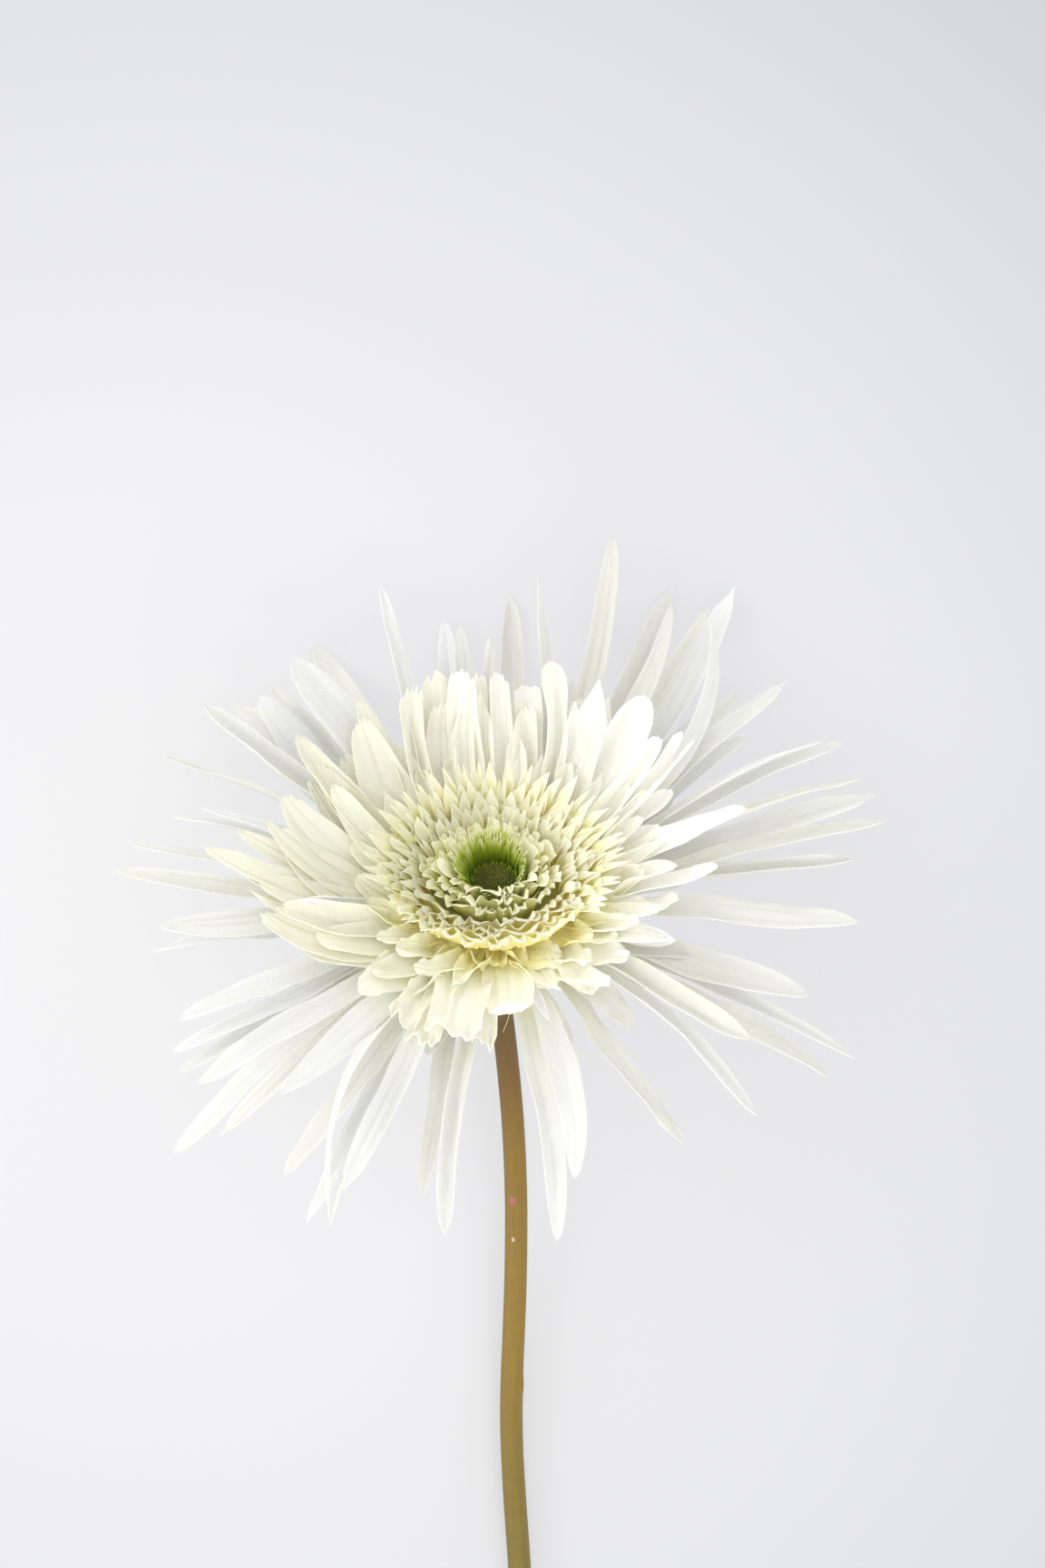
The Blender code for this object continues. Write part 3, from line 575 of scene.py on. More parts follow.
class Mesh:
    """Points, faces and coordinates of the sheets that make one piece."""

    def __init__(self):
        self.points, self.faces = [], []
        self.layers = {"place": [], "cloth": [], "tone_and_shade": []}

    def add(self, points, place, cloth, tone_and_shade, *faces):
        first = sum(len(group) for group in self.points)
        self.points.append(points)
        self.faces.extend(group + first for group in faces)
        for values, layer in zip((place, cloth, tone_and_shade), self.layers.values()):
            layer.append(np.broadcast_to(values, (len(points), 2)))

    def build(self, name, slot, *nodes):
        """Makes the object, which rides on the body, has the slot's material and stands for nodes."""
        points = np.concatenate(self.points)
        corners = np.concatenate([group.ravel() for group in self.faces])
        sizes = np.concatenate([np.full(len(group), group.shape[1]) for group in self.faces])
        starts = np.concatenate(((0,), np.cumsum(sizes)[:-1]))
        mesh = bpy.data.meshes.new(name)
        mesh.vertices.add(len(points))
        mesh.vertices.foreach_set("co", points.astype(np.float32).ravel())
        mesh.loops.add(len(corners))
        mesh.loops.foreach_set("vertex_index", corners.astype(np.int32))
        mesh.polygons.add(len(sizes))
        mesh.polygons.foreach_set("loop_start", starts.astype(np.int32))
        mesh.polygons.foreach_set("loop_total", sizes.astype(np.int32))
        mesh.update(calc_edges=True)
        for layer, values in self.layers.items():
            uv = mesh.uv_layers.new(name=layer)
            uv.data.foreach_set("uv", np.concatenate(values)[corners].astype(np.float32).ravel())
        mesh.materials.append(materials[slot])
        mesh.shade_smooth()
        mesh.set_sharp_from_angle(angle=SHARP_ANGLE)
        made = placed(name, mesh)
        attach(made, "root")
        if nodes:
            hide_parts(*nodes)


def placed(name, data):
    """A new object in the scene."""
    made = bpy.data.objects.new(name, data)
    bpy.context.scene.collection.objects.link(made)
    return made


def grid_quads(index, after):
    """Quads between the rows of a grid of point numbers, after being the next number along each row."""
    return np.stack((index[:-1], after[:-1], after[1:], index[1:]), -1).reshape(-1, 4)


def sheet_faces(rows, columns):
    """Quads of a closed thin sheet: its two sides as grids, one after the other, and its cut edge."""
    index = np.arange(rows * columns).reshape(rows, columns)
    top = grid_quads(index[:, :-1], index[:, 1:])
    under = top[:, ::-1] + rows * columns
    edge = np.concatenate((index[0, :], index[1:, -1], index[-1, -2::-1], index[-2:0:-1, 0]))
    after = np.roll(edge, -1)
    rim = np.stack((edge, edge + rows * columns, after + rows * columns, after), -1)
    return np.concatenate((top, under, rim))


def add_sheet(mesh, thickness, grid, place, cloth, tone_and_shade):
    """Adds a grid of points as a closed sheet of that thickness, kept above the floor."""
    normal = np.cross(np.gradient(grid, axis=1), np.gradient(grid, axis=0))
    normal = normal / np.maximum(np.linalg.norm(normal, axis=-1, keepdims=True), 1e-15)
    rows, columns, _ = grid.shape
    points = np.concatenate((grid + normal * thickness / 2.0, grid - normal * thickness / 2.0))
    lowest = np.array(FLOOR_CLEARANCE).repeat(rows)[:, None] * MM
    points[..., 2] = np.maximum(points[..., 2], lowest)
    both = [np.concatenate((values.reshape(-1, 2),) * 2) for values in (place, cloth)]
    mesh.add(points.reshape(-1, 3), *both, tone_and_shade, sheet_faces(rows, columns))


def close_band(mesh, thickness, grid, place, cloth, tone_and_shade=0.5):
    """Adds a grid that runs right round the axis as a closed band of that thickness."""
    wrapped = np.concatenate((grid[:, -1:], grid, grid[:, :1]), 1)
    normal = unit(np.cross(np.gradient(wrapped, axis=1), np.gradient(wrapped, axis=0))[:, 1:-1])
    sides = np.concatenate((grid + normal * thickness / 2.0, (grid - normal * thickness / 2.0)[::-1]))
    index = np.arange(sides.shape[0] * sides.shape[1]).reshape(sides.shape[:2])
    after = np.roll(index, -1, axis=1)
    up, up_after = np.roll(index, -1, axis=0), np.roll(after, -1, axis=0)
    faces = np.stack((index, after, up_after, up), -1).reshape(-1, 4)
    tone_and_shade = np.broadcast_to(tone_and_shade, place.shape)
    layers = [np.concatenate((values, values[::-1])).reshape(-1, 2) for values in (place, cloth, tone_and_shade)]
    mesh.add(sides.reshape(-1, 3), *layers, faces)


def add_band(mesh, profile, thickness, columns=96, level=0.0):
    """A closed band from a profile turned round the axis, at that place along what grows from it."""
    azimuth = np.linspace(0.0, TURN, columns + 1)[None, :-1]
    radius, height = (np.array(values)[:, None] * MM for values in zip(*profile))
    around = np.linspace(0.0, 1.0, columns, endpoint=False)[None, :]
    rows = np.arange(len(profile))[:, None]
    place = pair(around, np.full(rows.shape, level))
    close_band(mesh, thickness, head_point(radius, azimuth, height), place, pair(around * 80.0, rows * 0.5))


def tube(line, along, aside, radius, angle):
    """Rings of points round a line, their numbers, and the next numbers round."""
    side = unit(np.cross(along, aside))
    top = np.cross(side, along)
    rings = line[:, None] + radius * (np.cos(angle)[None, :, None] * side[:, None]
                                      + np.sin(angle)[None, :, None] * top[:, None])
    index = np.arange(len(line) * len(angle)).reshape(-1, len(angle))
    return rings, index, np.roll(index, -1, axis=1)


def end_cut(side, end, draw, scale):
    """Share of a petal's length that is missing at each place across it, -1 to 1."""
    rounded = 1.0 - np.sqrt(np.maximum(1.0 - side**2, 0.0))
    ragged = np.interp(side, np.linspace(-1, 1, 15), draw.uniform(0.0, 1.0, 15))
    lean = draw.uniform(-0.35, 0.35)
    teeth = np.abs(np.mod(side * 2.3 + lean * 3.0, 1.0) - 0.5)
    cut = {
        "round": 0.12 * rounded + 0.03 * lean * side + 0.012 * ragged,
        "point": 0.20 * np.abs(side - lean * 0.5) ** 1.3,
        "flat": 0.05 * rounded + 0.05 * lean * side + 0.03 * ragged,
        "notch": 0.11 * rounded + 0.06 * np.exp(-((side - lean) / 0.13) ** 2) + 0.02 * ragged,
        "fork": 0.06 * rounded + 0.17 * np.exp(-((side - lean) / 0.3) ** 2),
        "jagged": 0.07 * rounded + 0.06 * teeth + 0.035 * ragged + 0.14 * lean * side,
        "hem": 0.03 * rounded + 0.05 * ragged,
    }[end]
    return scale * cut


def outer_width(share, width, reach):
    """Full width of an outer petal: it widens past its middle and ends in a soft point."""
    root = min(1.9 * MM, 0.7 * width)
    broad = root + (width - root) * smooth(share / 0.55)
    taper = np.clip((share - reach) / (1.0 - reach), 0.0, 1.0)
    return broad * np.maximum(1.0 - taper**2.0, 0.0) ** 0.64 + 0.14 * MM


def ring_width(share, width, end, blunt):
    """Full width of a broad petal: widest past its middle, and narrower to its end unless it is blunt."""
    root = 2.8 * MM
    broad = root + (width - root) * smooth(share / 0.42)
    return broad * (1.0 - blunt * NARROWED[end] * np.clip((share - 0.52) / 0.48, 0.0, 1.0) ** 1.6)


def bent_section(slope):
    """Sideways and rise, over half the width, of strips whose slope across is given (rows by columns)."""
    step = 2.0 / (slope.shape[1] - 1)
    middle = slope.shape[1] // 2
    found = []
    for part in (np.cos(slope), np.sin(slope)):
        sums = np.cumsum((part[:, 1:] + part[:, :-1]) * step / 2.0, axis=1)
        sums = np.concatenate((np.zeros((len(slope), 1)), sums), axis=1)
        found.append(sums - sums[:, middle:middle + 1])
    return found


def drawn_style(draw, cups, creases, curl, ruffle, wave, wobble, depths, end):
    """A petal's own shape, drawn from ranges.

    It holds angles in degrees: cup (how far the edges turn up), crease (a fold along the middle), curls
    (how far the left and right edges roll), and lengths in mm: ruffle (waves along the edges), wave (out
    of the face), wobble (sideways), channels as (place across, depth), and hem (waves at the end).
    """
    curls = [0.0, 0.0]
    if draw.uniform() < 0.6:
        curls[draw.integers(2)] = draw.uniform(0.3, 1.0) * curl * draw.choice((1.0, 1.0, -1.0))
    centres = ((0.0,), (-0.35, 0.35), (-0.5, 0.0, 0.5))[draw.integers(1, 4) - 1]
    channels = [(centre + draw.uniform(-0.08, 0.08), draw.uniform(*depths)) for centre in centres]
    return {
        "cup": draw.uniform(*cups), "crease": draw.uniform(*creases), "curls": curls,
        "crease_at": draw.uniform(-0.3, 0.3), "ruffle": draw.uniform(0.3, 1.0) * ruffle,
        "wave": draw.uniform(0.3, 1.0) * wave, "wobble": draw.uniform(0.2, 1.0) * wobble,
        "channels": channels, "end": end, "curl_start": draw.uniform(0.15, 0.6),
        "end_scale": 1.0, "ruffles": 2.4, "hem": 0.0,
    }


def petal_grid(path, width_rule, style, draw, rows, columns):
    """The petal's surface as a grid, with its place (0 to 1) and its cloth coordinates (mm)."""
    middles, acrosses, faces = path
    side = np.linspace(-1.0, 1.0, columns + 1)[None, :]
    reach = 1.0 - end_cut(side[0], style["end"], draw, style["end_scale"])[None, :]
    share = np.linspace(0.0, 1.0, rows + 1)[:, None] * reach
    marks = np.linspace(0.0, 1.0, PATH_STEPS + 1)

    def at(values):
        return np.stack([np.interp(share, marks, values[:, axis]) for axis in range(3)], -1)

    middle, across, face = at(middles), unit(at(acrosses)), unit(at(faces))
    opened = smooth(share / 0.3)
    ended = smooth((share - 0.75) / 0.25)
    cup = np.radians(style["cup"]) * opened * (1.0 - 0.4 * ended)
    crease = np.radians(style["crease"]) * opened * (1.0 - 0.5 * ended)
    slope = cup * side + crease * np.tanh((side - style["crease_at"]) / 0.14)
    left, right = np.radians(style["curls"])
    rolled = right * smooth((side - 0.45) / 0.55) - left * smooth((-side - 0.45) / 0.55)
    slope = slope + smooth((share - style["curl_start"]) / 0.25) * rolled
    sideways, rise = bent_section(slope)
    width = width_rule(share)
    uneven = np.where(side > 0, ripple(share, draw, 2.6), ripple(share, draw, 2.6))
    sideways = sideways * width / 2.0 * (1.0 + 0.05 * uneven * np.abs(side))
    rise = rise * width / 2.0
    rise = rise - 0.5 * rise.mean(axis=1, keepdims=True)
    full = opened * (1.0 - 0.7 * ended)
    for place, depth in style["channels"]:
        drift = 0.06 * ripple(share, draw, 1.0)
        rise = rise - depth * MM * full * np.exp(-(((side - place - drift) / 0.10) ** 2))
    ruffled = np.where(side > 0, ripple(share, draw, style["ruffles"]),
                       ripple(share, draw, style["ruffles"]))
    rise = rise + style["ruffle"] * MM * opened * np.abs(side) ** 2.5 * ruffled
    rise = rise + style["hem"] * MM * smooth((share - 0.78) / 0.2) * ripple(side * 0.5, draw, 2.2)
    bend = opened * smooth(share / 0.6)
    rise = rise + style["wave"] * MM * bend * ripple(share[:, columns // 2, None], draw, 1.1)
    sideways = sideways + style["wobble"] * MM * bend * ripple(share, draw, 0.9)
    grid = middle + across * sideways[..., None] + face * rise[..., None]
    length = np.linalg.norm(np.diff(middles, axis=0), axis=1).sum()
    return grid, pair(side * 0.5 + 0.5, share), pair(side * width / 2.0 / MM, share * length / MM)


def add_outer_petal(mesh, path, petal, draw):
    width = petal[3] * OUTER_BROADER * MM
    end = str(draw.choice(("round", "round", "point", "notch")))
    creases = (34, 58) if draw.uniform() < 0.22 else (-10, 26)
    style = drawn_style(draw, (-10, 34), creases, 70, 0.5, 1.2, 1.4, (0.06, 0.24), end)
    style.update(end_scale=0.3, ruffles=draw.uniform(2.4, 4.2))
    reach = draw.uniform(0.58, 0.76)
    shape = petal_grid(path, lambda share: outer_width(share, width, reach), style, draw, 64, 14)
    add_sheet(mesh, CLOTH, *shape, draw.uniform(0, 1, 2))


def filler_petals():
    """Petals between the read ones, in the three lowest layers and inside the flower's outline."""
    draw = np.random.default_rng(50)
    angles, reaches = zip(*RIM)
    petals = []
    for index in range(FILLER_PETALS):
        angle = -180.0 + 360.0 * (index + draw.uniform(0.1, 0.9)) / FILLER_PETALS
        reach = np.interp(angle, angles, reaches) * draw.uniform(*FILLER_REACH)
        tip = reach * np.exp(1j * math.radians(angle))
        petal = (tip.real, tip.imag, int(draw.integers(0, 3)), draw.uniform(3.4, 5.2),
                 draw.uniform(-14, 14), draw.uniform(-8, 8))
        if not any(low < angle < high for low, high in FILLER_CLEAR):
            petals.append(petal)
    return petals


def make_outer_petals():
    paths, _ = aimed_paths(outer_rows(OUTER_PETALS, True))
    for index, (path, petal) in enumerate(zip(paths, OUTER_PETALS)):
        mesh = Mesh()
        add_outer_petal(mesh, path, petal, np.random.default_rng(100 + index))
        mesh.build(f"long_petal_{index + 1:02d}", "outer_petal", f"outer_petal_{index + 1:02d}")
    others = (("narrow_petals", SPARE_PETALS, 200), ("filler_petals", filler_petals(), 260))
    for name, petals, seed in others:
        mesh = Mesh()
        paths, _ = aimed_paths(outer_rows(petals, False))
        for index, (path, petal) in enumerate(zip(paths, petals)):
            add_outer_petal(mesh, path, petal, np.random.default_rng(seed + index))
        mesh.build(name, "outer_petal")


def make_ring(name, slot, seed):
    """A ring of broad petals: calm ones on the left, blunt ones at the top and lively ones in front."""
    height, _, petals = RINGS[name]
    paths, azimuths = aimed_paths(ring_rows(name))
    mesh = Mesh()
    add_band(mesh, ((ROOT_RADIUS / MM, height), (RING_OUTER_RADIUS / MM + 0.4, height)), CLOTH)
    for index, (right, above, width, end, cup, _, _, _) in enumerate(petals):
        draw = np.random.default_rng(seed + index)
        front = float(smooth((-math.sin(azimuths[index]) - 0.2) / 0.6))
        leftward = right < -17.0 and above > -16.0
        upright = above > 24.0 and abs(right) < 20.0
        calm = 0.35 if leftward else 0.85 if upright else 1.0
        blunt = 0.45 if upright else 1.0
        broad = width * RING_BROADER[0 if leftward else 1] * MM
        folded = draw.uniform() < 0.3 * calm and end != "hem"
        creases = (26, 54) if folded else (-14 * calm, 22 * calm)
        style = drawn_style(draw, (cup * 0.7, cup * 1.3), creases, 55 * calm, 0.7 * calm + 0.2 * front,
                            0.9 * calm + 0.3 * front, 0.6 + 0.4 * front, (0.08, 0.3), end)
        style["hem"] = 1.3 if end == "hem" else draw.uniform(0.1, 0.4) * calm + 0.3 * front
        style["ruffles"] = 2.4 + 0.8 * front
        shape = petal_grid(paths[index], lambda share: ring_width(share, broad, end, blunt), style, draw,
                           50, 20)
        # Painted shade: petals further left get a lower value, so a darker, creamier colour, plus some
        # random variation.
        painted_shade_and_tone = np.clip(0.62 + right / 45.0 + draw.uniform(-0.2, 0.2), 0.0, 1.0)
        add_sheet(mesh, CLOTH, *shape, (painted_shade_and_tone, draw.uniform()))
    mesh.build(name + "_cloth", slot, name)


def make_loose_petals():
    paths, _ = aimed_paths(loose_rows())
    mesh = Mesh()
    for index, (_, _, _, _, _, width, _, _, end, cup, crease, _) in enumerate(LOOSE_PETALS):
        draw = np.random.default_rng(600 + index)
        style = drawn_style(draw, (cup, cup), (crease, crease), 50, 0.3, 0.3, 0.3, (0.05, 0.12), end)
        shape = petal_grid(paths[index], lambda share: outer_width(share, width * MM, 0.6), style, draw,
                           70, 14)
        add_sheet(mesh, CLOTH, *shape, (1.0, 0.5))
    mesh.build("loose_petals", "outer_petal")


def add_strand(mesh, azimuth, root, tip, width, lean, crease, twist, shear, end, draw, columns=6, rows=10,
               thickness=FRINGE_CLOTH, flare=0.0, ripe=1.0):
    """One strip of a fringe, from root to tip as (radius, height) in mm.

    lean is how far its middle bows towards the axis (mm), crease how far its two halves fold up
    towards the axis (degrees), flare how far its end turns outward (mm), and ripe how far along the
    colours its tip is.
    """
    share = np.linspace(0.0, 1.0, rows + 1)[:, None]
    side = np.linspace(-1.0, 1.0, columns + 1)[None, :]
    cut = {"point": 0.30 * np.abs(side) ** 1.3, "slant": 0.11 * (side + 1.0),
           "fork": 0.20 * np.exp(-((side / 0.35) ** 2)) + 0.05 * side**4,
           "lobes": 0.10 * (1.0 - np.cos(3.0 * math.pi * side)) * 0.5 + 0.12 * side**4}[end]
    share = share * (1.0 - cut)
    opened = smooth(share / 0.45)
    slope = np.radians(crease) * opened * np.tanh(side / 0.3) + 0.25 * opened * side
    across, inward = bent_section(slope)
    half = width / 2.0 * (0.72 + 0.40 * smooth(share / 0.6) - 0.22 * smooth((share - 0.75) / 0.25))
    across, inward = across * half, (inward - 0.5 * inward.mean(axis=1, keepdims=True)) * half
    turn = np.radians(twist) * share**2
    sideways = across * np.cos(turn) - inward * np.sin(turn) + shear * share**2
    toward = across * np.sin(turn) + inward * np.cos(turn)
    toward = (toward + 0.10 * width * share * ripple(share, draw, 1.0)
              + 0.05 * width * ripple(side, draw, 0.8))
    turned = np.maximum(share - 0.55, 0.0) / 0.45
    radius = root[0] + (tip[0] - root[0]) * share**1.6 - lean * np.sin(math.pi * share) - toward
    radius = radius + flare * turned**1.5
    height = root[1] + (tip[1] - root[1]) * share - 0.45 * flare * turned**2.2
    grid = head_point(radius * MM, azimuth + sideways / np.maximum(radius, 0.8), height * MM)
    cloth = pair(sideways, share * (tip[1] - root[1]))
    # Painted shade: strips on the left get a lower value, so a darker, creamier colour, plus some random
    # variation.
    tone_and_shade = np.clip(0.5 + 0.35 * math.cos(azimuth) + draw.uniform(-0.25, 0.25), 0.0, 1.0)
    add_sheet(mesh, thickness, grid, pair(side * 0.5 + 0.5, share * ripe), cloth, (tone_and_shade, draw.uniform()))


def make_fringe(mesh, draw, rows, ends, spread, creases, reach, flares=(0.0, 0.0), ripe=1.0, turn=12.0,
                bands=True, thinned=0.0):
    """Rows of strips round the axis.

    reach gives how much further out and up a tip lies at an azimuth. flares are how far the ends turn
    outward at the back and in front (mm), turn is how far strips twist (degrees), and thinned is the
    share of strips that is left out in front.
    """
    for count, root, tip, width in rows:
        middle = (root[0] + (tip[0] - root[0]) * 0.38, root[1] + (tip[1] - root[1]) * 0.52)
        if bands:
            add_band(mesh, (root, middle), FRINGE_CLOTH, columns=2 * count, level=0.3)
        first = draw.uniform(0, 1)
        for index in range(count):
            azimuth = TURN * (index + first + draw.uniform(-0.2, 0.2)) / count
            out, rise = draw.normal(0.0, spread, 2) + reach(azimuth, tip[0])
            front = smooth(0.2 - math.sin(azimuth)) * (flares[1] > 0.0)
            flare = (flares[0] + (flares[1] - flares[0]) * front) * draw.uniform(0.5, 1.5)
            if draw.uniform() < thinned * front:
                continue
            add_strand(mesh, azimuth, root, (tip[0] + out, tip[1] + rise),
                       width * draw.uniform(0.8, 1.2) * (1.0 + 0.3 * front),
                       draw.uniform(0.0, 0.4), draw.uniform(*creases) + 10.0 * front,
                       draw.normal(0, turn), draw.normal(0, 0.25 + 0.15 * front),
                       str(draw.choice(ends(azimuth))), draw, columns=8, rows=12, flare=flare, ripe=ripe)


def add_collar(mesh, lobes, root, length, lean, swell, draw, columns=12, rows=17):
    """A ruffled collar round the axis, slit into uneven lobes with toothed ends that bend outward.

    In front it stands upright and bends over far, and at the back it leans out.
    """
    count = lobes * columns
    azimuth = TURN * np.arange(count)[None, :] / count
    back, left = np.sin(azimuth), -np.cos(azimuth)
    front = smooth(0.3 - back)
    starts = draw.uniform(0.0, TURN, 9)
    turn = (lobes * azimuth + 3.0 * np.sin(2.0 * azimuth + starts[0])
            + 2.0 * np.sin(5.0 * azimuth + starts[1]) + 0.9 * np.sin(9.0 * azimuth + starts[8]))
    slit = (0.5 - 0.5 * np.cos(turn)) ** 4
    teeth = 0.5 + 0.5 * np.cos(3.0 * turn + starts[2])
    uneven = 0.5 + 0.3 * np.sin(7.0 * azimuth + starts[3]) + 0.2 * np.sin(11.0 * azimuth + starts[4])
    share = np.linspace(0.0, 1.0, rows)[:, None] * (1.0 - 0.24 * slit - 0.05 * teeth - 0.18 * uneven)
    start = lean + 10.5 * back + 11.5 * left**2 + 5.0 * left
    slope = np.radians(start + (68.0 - 30.0 * back - start) * smooth((share - 0.5) / 0.5))
    step = np.diff(share, axis=0) * length * (1.03 + 0.04 * left)
    found = []
    for part in (np.sin(slope), np.cos(slope)):
        sums = np.cumsum((part[1:] + part[:-1]) / 2.0 * step, axis=0)
        found.append(np.concatenate((np.zeros((1, count)), sums)))
    fold = (0.85 * np.cos(turn) + 0.36 * np.cos(1.7 * turn + starts[5])
            + 0.08 * np.cos(3.1 * turn + starts[6]))
    fold = swell * (0.6 + 0.6 * front) * fold * share**1.2
    radius = root[0] + found[0] + fold * np.cos(slope)
    height = root[1] + found[1] - fold * np.sin(slope)
    height = height + 0.2 * swell * share**2 * np.cos(2.3 * turn + starts[7])
    angle = azimuth + 0.7 * swell * share**2 * np.cos(1.4 * turn + starts[8]) / radius
    # Painted shade: the collar gets darker towards the left side and between its lobes.
    tone_and_shade = pair(0.5 - 0.4 * left + 0.1 * np.cos(turn), np.full(share.shape, 0.5))
    close_band(mesh, FRINGE_CLOTH, head_point(radius * MM, angle, height * MM), pair(azimuth / TURN, share),
               pair(azimuth * root[0], share * length), tone_and_shade)


def add_funnel_wall(mesh, ribs=58, columns=348):
    """The funnel's wall: a closed cone of fine upright ribs, with an uneven top edge."""
    azimuth = TURN * np.arange(columns)[None, :] / columns
    share = np.linspace(0.0, 1.0, 15)[:, None]
    wave = np.cos(ribs * azimuth + 0.8 * np.sin(3.0 * azimuth))
    radius = 3.85 + 1.35 * share**1.3 + (0.05 + 0.06 * share) * wave
    height = -2.9 + (4.7 + 1.6 * np.sin(azimuth) + 0.45 * wave) * share
    place = pair(azimuth / TURN, share * 0.72)
    close_band(mesh, 0.2 * MM, head_point(radius * MM, azimuth, height * MM), place, place * (28.0, 6.0))


def floret_ends(azimuth):
    """Outer florets end in points at the back and in broad lobes in front."""
    if math.sin(azimuth) < -0.45:
        return ("lobes", "fork", "slant", "lobes")
    return ("point", "point", "slant", "fork")


def outer_reach(azimuth, radius):
    """Outer florets stand higher at the back, point at the viewer in front, and run out to both sides."""
    back = math.sin(azimuth)
    share = (radius - 12.0) / 9.0
    right, left = (math.exp(-((np.angle(np.exp(1j * (azimuth - middle))) / 0.6) ** 2))
                   for middle in (0.1, math.pi))
    out = 0.6 * back if back > 0.0 else back * (0.3 + 1.9 * share**2)
    rise = 1.6 * back * (0.4 + share) if back > 0.0 else -back * (1.3 - 1.9 * share)
    return np.array((out + (2.2 * right + 1.4 * left) * share, rise + 0.6 * right))


def inner_reach(azimuth, radius):
    """The strips between the collars lean out at the back and to the left."""
    back, left = np.sin(azimuth), -np.cos(azimuth)
    return np.array((0.7 * back + 0.3 * left + 0.2 * left**2, 0.5 * back - 0.3 * left**2))


def funnel_reach(azimuth, radius):
    """The funnel opens further to the left, rises at the back and is low in front."""
    share = smooth((radius - 3.8) / 1.2)
    back, left = math.sin(azimuth), -math.cos(azimuth)
    return np.array((0.8 * left + 0.2 * min(back, 0.0) + 0.3 * left**2, 1.9 * back)) * share


def make_outer_florets():
    mesh = Mesh()
    draw = np.random.default_rng(11)
    for collar in OUTER_COLLARS:
        add_collar(mesh, *collar, draw, columns=10, rows=14)
    for rows, thinned in ((OUTER_FLORET_ROWS[:3], 0.85), (OUTER_FLORET_ROWS[3:], 0.35)):
        make_fringe(mesh, draw, rows, floret_ends, 0.35, (10, 50), outer_reach, (0.2, 0.8), bands=False,
                    thinned=thinned)
    mesh.build("outer_florets_cloth", "outer_floret", "outer_florets")


def make_inner_florets():
    mesh = Mesh()
    draw = np.random.default_rng(12)
    add_band(mesh, INNER_FLOOR, FRINGE_CLOTH, level=0.12)
    for collar in INNER_COLLARS:
        add_collar(mesh, *collar, draw)
    make_fringe(mesh, draw, INNER_FLORET_ROWS, lambda _: ("lobes", "fork", "slant", "lobes"), 0.35, (10, 60),
                inner_reach, (0.3, 1.3), turn=30.0, thinned=0.6)
    mesh.build("inner_florets_cloth", "inner_floret", "inner_florets")


def make_centre_fringe():
    """The funnel, and short stubs between it and the button."""
    mesh = Mesh()
    add_funnel_wall(mesh)
    draw = np.random.default_rng(13)
    for rows, ripe in ((FUNNEL_ROWS, 1.0), (STUB_ROWS, 0.62)):
        make_fringe(mesh, draw, rows, lambda _: ("point", "slant"), 0.2, (0, 30), funnel_reach, ripe=ripe)
    mesh.build("centre_fringe_cloth", "centre_fringe", "centre_fringe")


def make_button():
    """A low dome set with short tufts."""
    mesh = Mesh()
    draw = np.random.default_rng(21)
    add_band(mesh, BUTTON_PROFILE, 0.2 * MM, columns=48, level=0.3)
    for index in range(BUTTON_TUFTS):
        # The golden angle between tufts spreads them evenly.
        radius = BUTTON_RADIUS * math.sqrt((index + 0.5) / BUTTON_TUFTS)
        azimuth = index * math.pi * (3.0 - math.sqrt(5.0))
        height = float(np.interp(radius, *zip(*BUTTON_TOP)))
        out = draw.uniform(-0.1, 0.35) + 0.3 * smooth(radius - 2.4)
        tip = (radius + out, height + draw.uniform(0.45, 0.8))
        add_strand(mesh, azimuth, (radius, height - 0.1), tip, draw.uniform(0.16, 0.26), 0.0, 10.0,
                   draw.normal(0, 60), draw.normal(0, 0.12), "point", draw, columns=2, rows=4,
                   thickness=0.05 * MM)
    mesh.build("centre_button_pile", "centre_button", "centre_button")


def stem_sway(y):
    """How far the stem's middle lies to the right of the head's middle, as in the CAD source."""
    behind = (y - HEAD_TOP[1]) / MM
    places, sways = zip(*STEM_SWAYS)
    return np.mean([np.interp(behind + shift, places, sways) for shift in SWAY_SOFTENING], axis=0) * MM


def stem_line():
    """The stem's middle line from the cut end to the neck, as in the CAD source but finer."""
    neck = HEAD_TOP + (NECK_HEIGHT - GAP) * AXIS
    head_slope = PICTURE_LEAN + FACE_TILT
    arc_y = neck[1] - NECK_BEND_RADIUS * (math.sin(head_slope) - math.sin(NECK_SLOPE))
    arc_z = neck[2] - NECK_BEND_RADIUS * (math.cos(NECK_SLOPE) - math.cos(head_slope))
    rise_start = arc_y - RISE_LENGTH
    straight = np.linspace(STEM_END_Y, rise_start, STEM_STEPS[0])[:-1]
    rising = np.linspace(rise_start, arc_y, STEM_STEPS[1])[:-1]
    slope = np.linspace(NECK_SLOPE, head_slope, STEM_STEPS[2])
    y = np.concatenate((straight, rising,
                        arc_y + NECK_BEND_RADIUS * (np.sin(slope) - math.sin(NECK_SLOPE))))
    z = np.concatenate((np.full(len(straight), STEM_RADIUS),
                        STEM_RADIUS + (arc_z - STEM_RADIUS) * ((rising - rise_start) / RISE_LENGTH) ** 2,
                        arc_z + NECK_BEND_RADIUS * (math.cos(NECK_SLOPE) - np.cos(slope))))
    line = np.stack((HEAD_TOP[0] + stem_sway(y), y, z), -1)
    share = smooth((y - arc_y) / (neck[1] - arc_y))[:, None]
    return line + (neck - line[-1]) * share


def soft_bump(off, length, angle, around, width):
    """A bump of height 1, at each distance off it along the stem and each angle round the stem."""
    turn = np.angle(np.exp(1j * (angle - around)))
    return np.exp(-((off / length) ** 2) - (turn / width) ** 2)


